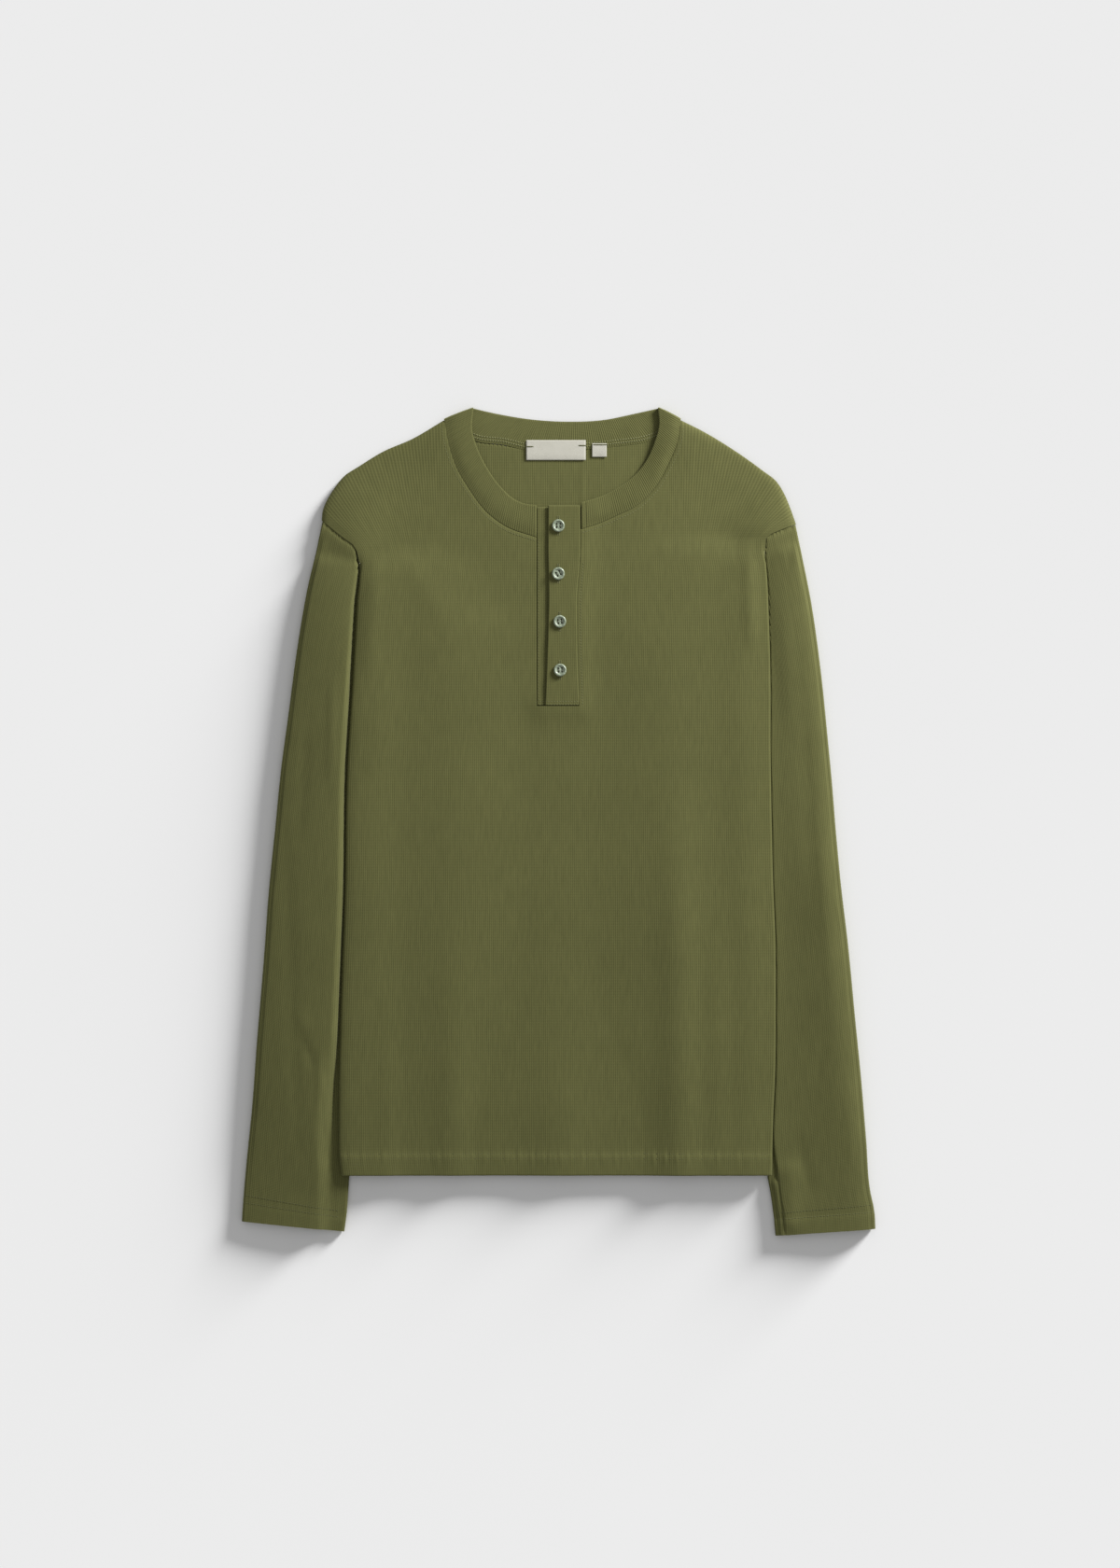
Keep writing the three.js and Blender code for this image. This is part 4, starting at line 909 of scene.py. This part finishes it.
# Labels
def woven_label(name, corners, droop, material):
    x0, x1, y0, y1 = corners
    columns = np.r_[0, 0.01, 0.03, np.linspace(0.06, 0.94, 25), 0.97, 0.99, 1]
    rows = np.r_[0, 0.02, 0.06, np.linspace(0.1, 0.9, 13), 0.94, 0.98, 1]
    x, y = np.broadcast_arrays(mix(x0, x1, columns), mix(y0, y1, rows)[:, None])
    low = smooth((y0 + 7 - y) / 9)
    sag = droop * low + 0.15 * np.sin((x - x0) / (x1 - x0) * 5)
    middle = np.stack([x, y, BAND + REST_GAP + 0.15 + TAPE / 2 - sag * low], -1)
    free = np.minimum.reduce([x - x0, x1 - x, y - y0, y1 - y])
    return shell(name, middle, half_thickness(free, TAPE), 0 * x, (x, y), material, 1, 1)


# Stitches: each is a short thread, round and tapered to its ends, laid along a seam.
THREAD_SIDES = 6
THREAD_RINGS = [(-1.0, 0.25), (-0.8, 0.75), (-0.35, 1.0), (0.35, 1.0), (0.8, 0.75), (1.0, 0.25)]
FIRST_STITCH = 0.2


def threads(name, pairs, radius, material):
    """One mesh of many stitches, from (start, end) pairs of points."""
    starts, ends = (np.array([pair[k] for pair in pairs], float) for k in (0, 1))
    middle = (starts + ends) / 2
    axis = (ends - starts) / 2
    direction = unit(axis)
    side = unit(np.cross(direction, np.array([0, 0, 1.0])))
    up = np.cross(side, direction)
    points = []
    for at, wide in THREAD_RINGS:
        sink = np.array([0, 0, 0.5 * radius * abs(at) ** 3])
        for a in 2 * math.pi * np.arange(THREAD_SIDES) / THREAD_SIDES:
            offset = radius * wide * (math.cos(a) * side + math.sin(a) * up)
            points.append(middle + axis * at + offset - sink)
    points = np.stack(points, 1)
    per = points.shape[1]
    n = THREAD_SIDES
    corners = [(ring + k, ring + (k + 1) % n) for ring in range(0, per - n, n) for k in range(n)]
    faces = [[a, a + n, b + n, b] for a, b in corners]
    faces += [list(range(n)), list(range(per - 1, per - n - 1, -1))]
    every = [[s * per + v for v in face] for s in range(len(points)) for face in faces]
    return new_object(name, points.reshape(-1, 3), every, material)


def front_top(x, y):
    """Height of the upper face of the front."""
    return front_middle(x, y) + drift(x, y) + hem_cloth(y) / 2


def placket_top(x, y):
    """Height of the upper face across the two strips and the front beside them."""
    inside = x < x_at(SLIT_EDGE, y)
    under = under_strip_level(x, y) + CLOTH / 2
    low = np.where(inside & (x > SLIT_LEFT), under, front_top(x, y))
    return np.where(inside & (x > x_at(TOP_STRIP_LEFT, y)), top_strip_level(x, y) + BAND / 2, low)


def stitches(path, pitch, share, top=None, lift=0.0):
    """Stitches along a path in space, or along a flat path on the surface that top gives."""
    path = np.asarray(path, float)
    run = np.r_[0, np.cumsum(np.linalg.norm(np.diff(path, axis=0), axis=1))]
    begin = np.arange(int(run[-1] / pitch)) * pitch + (FIRST_STITCH if top else 0)
    ends = []
    for at in (begin, begin + pitch * share):
        place = [np.interp(at, run, values) for values in path.T]
        if top:
            place.append(top(*place) + lift)
        ends.append(np.stack(place, -1))
    return list(zip(*ends))


def offset_path(points, distance, shares):
    """A path beside a curve, to the left of its direction where distance is above nought."""
    line = along(points, np.linspace(*shares, 160))
    direction = np.gradient(line, axis=0)
    direction /= np.hypot(direction[:, 0], direction[:, 1])[:, None]
    return line + distance * np.stack([-direction[:, 1], direction[:, 0]], -1)


# Buttons
BUTTON_PROFILE = [
    (0, 0.15), (1.6, 0.05), (4.2, 0.0), (5.0, 0.15), (5.5, 0.55), (BUTTON_R, 1.2), (5.7, 1.75), (5.4, 2.2),
    (5.0, 2.45), (4.6, BUTTON_H), (4.25, 2.4), (3.95, 2.1), (3.7, 1.75), (3.3, 1.55), (2.4, 1.5), (0, 1.5),
]
BUTTON_TURNS = (0.0, 0.5, 0.15, 0.05)
BUTTON_TILTS = ((0.02, -0.02), (-0.05, 0.04), (0.04, 0.03), (0.03, -0.05))
HOLE_R = 0.85
HOLE_AT = 1.65
CORNERS = [(sx * HOLE_AT, sy * HOLE_AT) for sx in (-1, 1) for sy in (-1, 1)]


def mesh_object(name, mesh):
    """An object of a finished bmesh."""
    data = bpy.data.meshes.new(name)
    mesh.to_mesh(data)
    mesh.free()
    return add_object(name, data)


def button_mesh(material):
    """A turned button with a raised rim, a dished face and four holes, standing on nought."""
    mesh = bmesh.new()
    ring = [mesh.verts.new((r, 0, z)) for r, z in BUTTON_PROFILE]
    edges = [mesh.edges.new(pair) for pair in zip(ring, ring[1:])]
    bmesh.ops.spin(
        mesh, geom=ring + edges, axis=(0, 0, 1), cent=(0, 0, 0), angle=2 * math.pi, steps=64, use_merge=True,
    )
    bmesh.ops.remove_doubles(mesh, verts=mesh.verts, dist=0.001)
    bmesh.ops.recalc_face_normals(mesh, faces=mesh.faces)
    blank = mesh_object("button_blank", mesh)
    drill = bmesh.new()
    for x, y in CORNERS:
        hole = bmesh.ops.create_cone(drill, cap_ends=True, segments=20, radius1=HOLE_R, radius2=HOLE_R, depth=8)
        bmesh.ops.translate(drill, verts=hole["verts"], vec=(x, y, 0))
    cutter = mesh_object("button_drill", drill)
    cut = blank.modifiers.new("holes", "BOOLEAN")
    cut.object = cutter
    cut.operation = "DIFFERENCE"
    cut.solver = "EXACT"
    bpy.context.view_layer.update()
    shaped = bpy.data.meshes.new_from_object(blank.evaluated_get(bpy.context.evaluated_depsgraph_get()))
    bpy.data.objects.remove(blank)
    bpy.data.objects.remove(cutter)
    shaped.materials.clear()
    shaped.materials.append(material)
    shaped.shade_smooth()
    return shaped


def make_buttons(shape, thread):
    """The turned buttons with the thread through their holes."""
    base = TOP_STRIP_Z + BAND / 2 + REST_GAP
    made = []
    for number, (x, y) in enumerate(BUTTONS):
        c, s = math.cos(BUTTON_TURNS[number]), math.sin(BUTTON_TURNS[number])
        tilt_x, tilt_y = BUTTON_TILTS[number]

        def placed(px, py, height):
            qx, qy = c * px - s * py, s * px + c * py
            return x + qx, y + qy, base + height + tilt_x * qx + tilt_y * qy

        mesh = shape.copy()
        for v in mesh.vertices:
            v.co = Vector(placed(v.co.x, v.co.y, v.co.z * 0.96)) * MM
        button = add_object(f"button_{number + 1}_turned", mesh)
        # Thread through the holes and across the face; its dark colour is painted shade of the holes.
        ends = [placed(px, py, 1.6) for px, py in CORNERS]
        ties = []
        for pair in (ends[:2], ends[2:]):
            ties += [pair, [(ex + 0.28, ey, ez) for ex, ey, ez in pair]]
            ties += [((ex, ey, base - 0.25), (ex + 0.01, ey, ez)) for ex, ey, ez in pair]
        made.append((button, threads(f"button_{number + 1}_thread", ties, 0.18, thread)))
    return made


def buttonholes():
    """Two rows of stitches for each buttonhole, which stands upright behind its button."""
    made = []
    for x, y in BUTTONS:
        for at in y + np.linspace(-8.6, 8.6, 24):
            level = float(top_strip_level(x, at)) + BAND / 2 + 0.12
            made += [((x + s * 0.15, at, level), (x + s * 1.15, at + 0.1, level)) for s in (-1, 1)]
    return made


# Materials
class Tree:
    """Short calls for the nodes of one material."""

    def __init__(self, name):
        self.material = bpy.data.materials.new(name)
        self.material.use_nodes = True
        self.nodes = self.material.node_tree.nodes
        self.links = self.material.node_tree.links
        self.shader = self.nodes["Principled BSDF"]

    def feed(self, node, inputs):
        """Set inputs to constants, or link them to the outputs of other nodes."""
        for key, value in inputs.items():
            if isinstance(value, (int, float, tuple)):
                node.inputs[key].default_value = value
            else:
                self.links.new(value, node.inputs[key])

    def add(self, kind, inputs, **settings):
        node = self.nodes.new("ShaderNode" + kind)
        for key, value in settings.items():
            setattr(node, key, value)
        self.feed(node, inputs)
        return node

    def math(self, operation, *values):
        return self.add("Math", dict(enumerate(values)), operation=operation).outputs[0]

    def scaled(self, value, factor, plus):
        return self.math("MULTIPLY_ADD", value, factor, plus)

    def noise(self, scale, detail=2.0, vector=None, roughness=0.5):
        if vector is None:
            vector = self.add("TexCoord", {}).outputs["Object"]
        inputs = {"Scale": scale, "Detail": detail, "Roughness": roughness, "Vector": vector}
        return self.add("TexNoise", inputs).outputs["Fac"]

    def bump(self, height, depth, strength):
        bump = self.add("Bump", {"Strength": strength, "Distance": depth, "Height": height})
        self.feed(self.shader, {"Normal": bump.outputs["Normal"]})

    def grain(self, across, along_it):
        """The grain of the cloth, and the phases of waves with these pitches across it and along it."""
        grain = self.add("UVMap", {}, uv_map="grain").outputs[0]
        parts = self.add("SeparateXYZ", {0: grain})
        phases = [2 * math.pi / (pitch * MM) for pitch in (across, along_it)]
        return [grain] + [self.math("MULTIPLY", parts.outputs[k], phases[k]) for k in (0, 1)]

    def finish(self, tone, colours, roughness, specular, **more):
        """The material, with a colour between the two that tone mixes."""
        mixed = self.add("Mix", {"Factor": tone, "A": colours[0], "B": colours[1]}, data_type="RGBA")
        shown = {"Base Color": mixed.outputs["Result"], "Roughness": roughness, "Specular IOR Level": specular}
        more = {key.replace("_", " ").title(): value for key, value in more.items()}
        self.feed(self.shader, {**shown, **more})
        return self.material


COURSE_PITCH = 1.3  # from one knitted course to the next
WEAVE = (0.5, 0.6)  # pitches of the label's threads
KNIT_SHEEN = dict(sheen_weight=0.25, sheen_roughness=0.45, sheen_tint=(0.76, 0.78, 0.48, 1))
TONE_BASE = -0.51
# The loops' share paints shade between the loops, and the ribs' share paints shade in the rib grooves and light
# on the rib crests.
TONE_SHARES = (0.26, 0.46, 0.64, 0.3, 0.24)  # of the loops, ribs, streaks, clouds and fibres


def knit_material(name, *colours):
    tree = Tree(name)
    grain, across, down = tree.grain(RIB_PITCH, COURSE_PITCH)
    wave = tree.math("COSINE", across)
    # Painted light on the ribs' crests and painted shade in their grooves, in step with the rib relief of the
    # mesh.
    painted_rib_shade = tree.scaled(wave, 0.5, 0.5)
    # The knit's loops, as a bump and as painted shade in the colour where that bump is low.
    loop_bump_and_shade = tree.scaled(tree.math("SINE", tree.scaled(wave, 0.9, down)), 0.5, 0.5)
    stretch = tree.add("Mapping", {"Scale": (1.0, 0.12, 1.0), "Vector": grain})
    streak = tree.noise(420, 3.0, stretch.outputs[0], 0.6)
    cloud = tree.noise(14, 3.0)
    fibre = tree.noise(2600)
    tone = TONE_BASE
    for part, share in zip((loop_bump_and_shade, painted_rib_shade, streak, cloud, fibre), TONE_SHARES):
        tone = tree.scaled(part, share, tone)
    tree.bump(tree.scaled(loop_bump_and_shade, 0.6, tree.math("MULTIPLY", fibre, 0.8)), 0.00012, 0.7)
    return tree.finish(tone, colours, 0.9, 0.2, **KNIT_SHEEN)


def thread_material(name, *colours):
    tree = Tree(name)
    twist = tree.noise(3000)
    tree.bump(twist, 0.0001, 0.5)
    return tree.finish(twist, colours, 0.7, 0.3, sheen_weight=0.15)


def label_material(name, *colours):
    tree = Tree(name)
    _, across, down = tree.grain(*WEAVE)
    crossing = tree.math("MULTIPLY", tree.math("SINE", across), tree.math("SINE", down))
    weave = tree.scaled(crossing, 0.5, 0.5)
    tone = tree.scaled(weave, 0.4, tree.math("MULTIPLY", tree.noise(120, 3.0), 0.6))
    tree.bump(weave, 0.00008, 0.6)
    return tree.finish(tone, colours, 0.75, 0.3, sheen_weight=0.1)


def button_material(name, *colours):
    tree = Tree(name)
    place = tree.add("TexCoord", {}).outputs["Object"]
    swirls = {"Scale": 160, "Distortion": 6, "Detail": 3, "Vector": place}
    swirl = tree.add("TexWave", swirls, wave_type="BANDS", bands_direction="DIAGONAL")
    tone = tree.scaled(swirl.outputs["Fac"], 0.5, tree.math("MULTIPLY", tree.noise(500, 3.0), 0.5))
    return tree.finish(tone, colours, 0.5, 0.5, coat_weight=0.3, coat_roughness=0.12)


def floor_material(name, *colours):
    tree = Tree(name)
    return tree.finish(tree.noise(3), colours, 1.0, 0.0)


# Dark and light ends of the knit's colour. The tone that mixes them holds the painted shade of the rib grooves
# and loops and the painted light on the rib crests.
KNIT = knit_material("olive_rib", (0.073, 0.0745, 0.0235, 1), (0.141, 0.1405, 0.0485, 1))
THREAD = thread_material("olive_thread", (0.11, 0.112, 0.042, 1), (0.19, 0.195, 0.085, 1))
HEM_THREAD = thread_material("hem_thread", (0.075, 0.077, 0.028, 1), (0.12, 0.123, 0.05, 1))
NECK_THREAD = thread_material("neck_thread", (0.15, 0.152, 0.062, 1), (0.27, 0.275, 0.13, 1))
# Real button thread, made dark as painted shade of the holes it fills.
HOLE_SHADE_THREAD = thread_material("hole_shade_olive_thread", (0.03, 0.031, 0.014, 1), (0.06, 0.062, 0.028, 1))
IVORY = label_material("ivory_tape", (0.41, 0.4, 0.34, 1), (0.52, 0.505, 0.44, 1))
PEARL = button_material("smoky_pearl", (0.12, 0.15, 0.095, 1), (0.34, 0.39, 0.29, 1))
PALE = floor_material("pale_floor", (0.795, 0.795, 0.795, 1), (0.805, 0.805, 0.805, 1))


def sewn(piece):
    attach(piece, "root")


def dress():
    """Make every piece, hang it on the root body, and hide the imported part that it stands in for."""
    front = front_cloth()
    back = back_cloth()
    left = sleeve_cloth(LEFT, "sleeve_left_cloth")
    right = sleeve_cloth(RIGHT, "sleeve_right_cloth")
    band = neckband()
    foot = PLACKET_END_Y + SEAM_GAP
    under = strip(
        "placket_under_cloth", lambda y: SLIT_LEFT + SEAM_GAP + 0 * y, lambda y: UNDER_STRIP_RIGHT + 0 * y,
        foot, UNDER_STRIP_TOP, under_strip_level, CLOTH,
    )
    top = strip(
        "placket_top_cloth", lambda y: x_at(TOP_STRIP_LEFT, y), lambda y: x_at(SLIT_EDGE, y) - 0.1,
        foot, PLACKET_TOP_Y, top_strip_level, BAND,
    )
    label = woven_label("neck_label_tape", NECK_LABEL, 0.5, IVORY)
    size = woven_label("size_label_tape", SIZE_LABEL, 0.4, IVORY)
    buttons = make_buttons(button_mesh(PEARL), HOLE_SHADE_THREAD)
    for slot, pieces in (
        ("rib_knit", (
            (front, "front_panel"), (back, "back_panel"), (left, "sleeve_left"), (right, "sleeve_right"),
            (band, "neckband"), (under, "placket_under"), (top, "placket_top"),
        )),
        ("label_tape", ((label, "neck_label"), (size, "size_label"))),
        ("button", [(button, f"button_{number}") for number, (button, _) in enumerate(buttons, 1)]),
    ):
        for piece, node in pieces:
            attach(piece, "root")
            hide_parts(node)
    for _, sewing in buttons:
        sewn(sewing)


# Stitches: the pitch, and the share of it that each is long
HEM_SEWING = (2.9, 0.72)
NECK_SEWING = (2.7, 0.7)
INNER_SEWING = (2.4, 0.72)
PLACKET_SEWING = (2.6, 0.7)
INNER_ROWS = (2.2, 5.0)  # rows above the back neck seam
BOX_LEFT, BOX_RIGHT = -18.2, 18.4  # the stitched box at the placket's foot
BOX_ROWS = (4.1, 1.2)
TACKS = [  # from x to x, at y
    (NECK_LABEL[0] - 0.6, NECK_LABEL[0] + 6.8, 341.4),
    (NECK_LABEL[1] - 6.8, NECK_LABEL[1] + 0.6, 342.4),
    (SIZE_LABEL[0] + 0.3, SIZE_LABEL[1] + 1.0, 343.2),
]


def sew():
    """The seams' stitches, as small threads on the cloth."""
    hem, neck, inner, box, tacks = [], [], [], [], []
    ends = [x_at(side.body_edge, HEM_STITCHES[0]) - side.sign for side in SIDES]
    for y in HEM_STITCHES:
        hem += stitches([(x, y) for x in np.linspace(*ends, 300)], *HEM_SEWING, front_top, -0.1)
    for side in SIDES:
        for path in side.cuff_rows:
            hem += stitches(path, *HEM_SEWING)
        beside = offset_path(side.neck_seam, -side.sign * NECK_STITCH, (0.0, 0.97))
        neck += stitches(beside, *NECK_SEWING, front_top)
    for above in INNER_ROWS:
        beside = offset_path(BACK_NECK, above, (0.05, 0.95))
        inner += stitches(beside, *INNER_SEWING, lambda x, y: BAND + 0 * x, 0.1)
    on_label = BAND + REST_GAP + TAPE + 0.3
    for x0, x1, y in TACKS:
        tacks += [((x0, row, on_label), (x1, row, on_label)) for row in (y, y + 0.5)]
    margin = [(x + PLACKET_STITCH, y) for x, y in SLIT_EDGE if y < 270]
    box += stitches([(BOX_LEFT, 258), (BOX_LEFT, PLACKET_END_Y + 4)], *PLACKET_SEWING, placket_top, 0.05)
    box += stitches(margin, *PLACKET_SEWING, front_top, 0.05)
    for above in BOX_ROWS:
        y = PLACKET_END_Y + above
        box += stitches([(BOX_LEFT, y), (BOX_RIGHT, y)], *PLACKET_SEWING, placket_top, 0.1)
    for name, rows, radius, thread in (
        ("hem_stitches", hem, 0.2, HEM_THREAD), ("neck_stitches", neck, 0.22, THREAD),
        ("inner_neck_stitches", inner, 0.34, NECK_THREAD), ("label_tacks", tacks, 0.24, HEM_THREAD),
        ("placket_stitches", box, 0.22, THREAD), ("buttonhole_stitches", buttonholes(), 0.24, THREAD),
    ):
        sewn(threads(name, rows, radius, thread))


# Stage, light and camera
FLOOR_SIZE = 60.0
FLOOR_Z = -0.0003
LIGHT_TURN = math.radians(45)  # both lights stand to the upper right
SUN_HEIGHT = math.radians(8)
SUN_WIDTH = math.radians(15.5)
SUN_STRENGTH = 13.94
LAMP_HEIGHT = math.radians(21)
LAMP_FAR = 2.2
LAMP_SIZE = 0.75
LAMP_POWER = 84
SKY_STRENGTH = 0.43
PIXEL = 0.85  # millimetres of the table to one pixel of the 1200 by 1680 picture
PICTURE_HEIGHT = 1680
VIEW = (1.3, 34.3)  # the middle of the picture
VIEW_LEVEL = 0.004  # the height at which a pixel has that size
LENS = 85
SENSOR = 36


def place_light(data, height, far, floor, state):
    """A light to the upper right that shines on the floor only, or on all but the floor."""
    light = add_object(data.name, data)
    across = math.cos(height)
    aim = Vector((across * math.cos(LIGHT_TURN), across * math.sin(LIGHT_TURN), math.sin(height)))
    light.location = aim * far
    light.rotation_euler = (-aim).to_track_quat("-Z", "Y").to_euler()
    lit = bpy.data.collections.new(data.name + "_lit")
    lit.objects.link(floor)
    lit.collection_objects[0].light_linking.link_state = state
    light.light_linking.receiver_collection = lit


def stage():
    bpy.ops.mesh.primitive_plane_add(size=FLOOR_SIZE, location=(0, 0, FLOOR_Z))
    floor = bpy.context.object
    floor.name = "floor"
    floor.data.materials.append(PALE)
    world = bpy.data.worlds.new("soft_sky")
    world.use_nodes = True
    sky = world.node_tree.nodes["Background"]
    sky.inputs["Color"].default_value = (1, 1, 1, 1)
    sky.inputs["Strength"].default_value = SKY_STRENGTH
    scene = bpy.context.scene
    scene.world = world
    scene.view_settings.view_transform = "Standard"
    scene.view_settings.look = "None"
    sun = bpy.data.lights.new("low_sun", "SUN")
    sun.energy = SUN_STRENGTH
    sun.angle = SUN_WIDTH
    place_light(sun, SUN_HEIGHT, 1, floor, "INCLUDE")
    lamp = bpy.data.lights.new("soft_lamp", "AREA")
    lamp.shape = "DISK"
    lamp.size = LAMP_SIZE
    lamp.energy = LAMP_POWER
    place_light(lamp, LAMP_HEIGHT, LAMP_FAR, floor, "EXCLUDE")


def camera():
    data = bpy.data.cameras.new("camera")
    data.lens = LENS
    data.sensor_width = SENSOR
    data.clip_end = 50
    eye = add_object("camera", data)
    seen = PIXEL * PICTURE_HEIGHT * MM
    eye.location = (VIEW[0] * MM, VIEW[1] * MM, seen * LENS / SENSOR + VIEW_LEVEL)
    bpy.context.scene.camera = eye


camera()
stage()
dress()
sew()
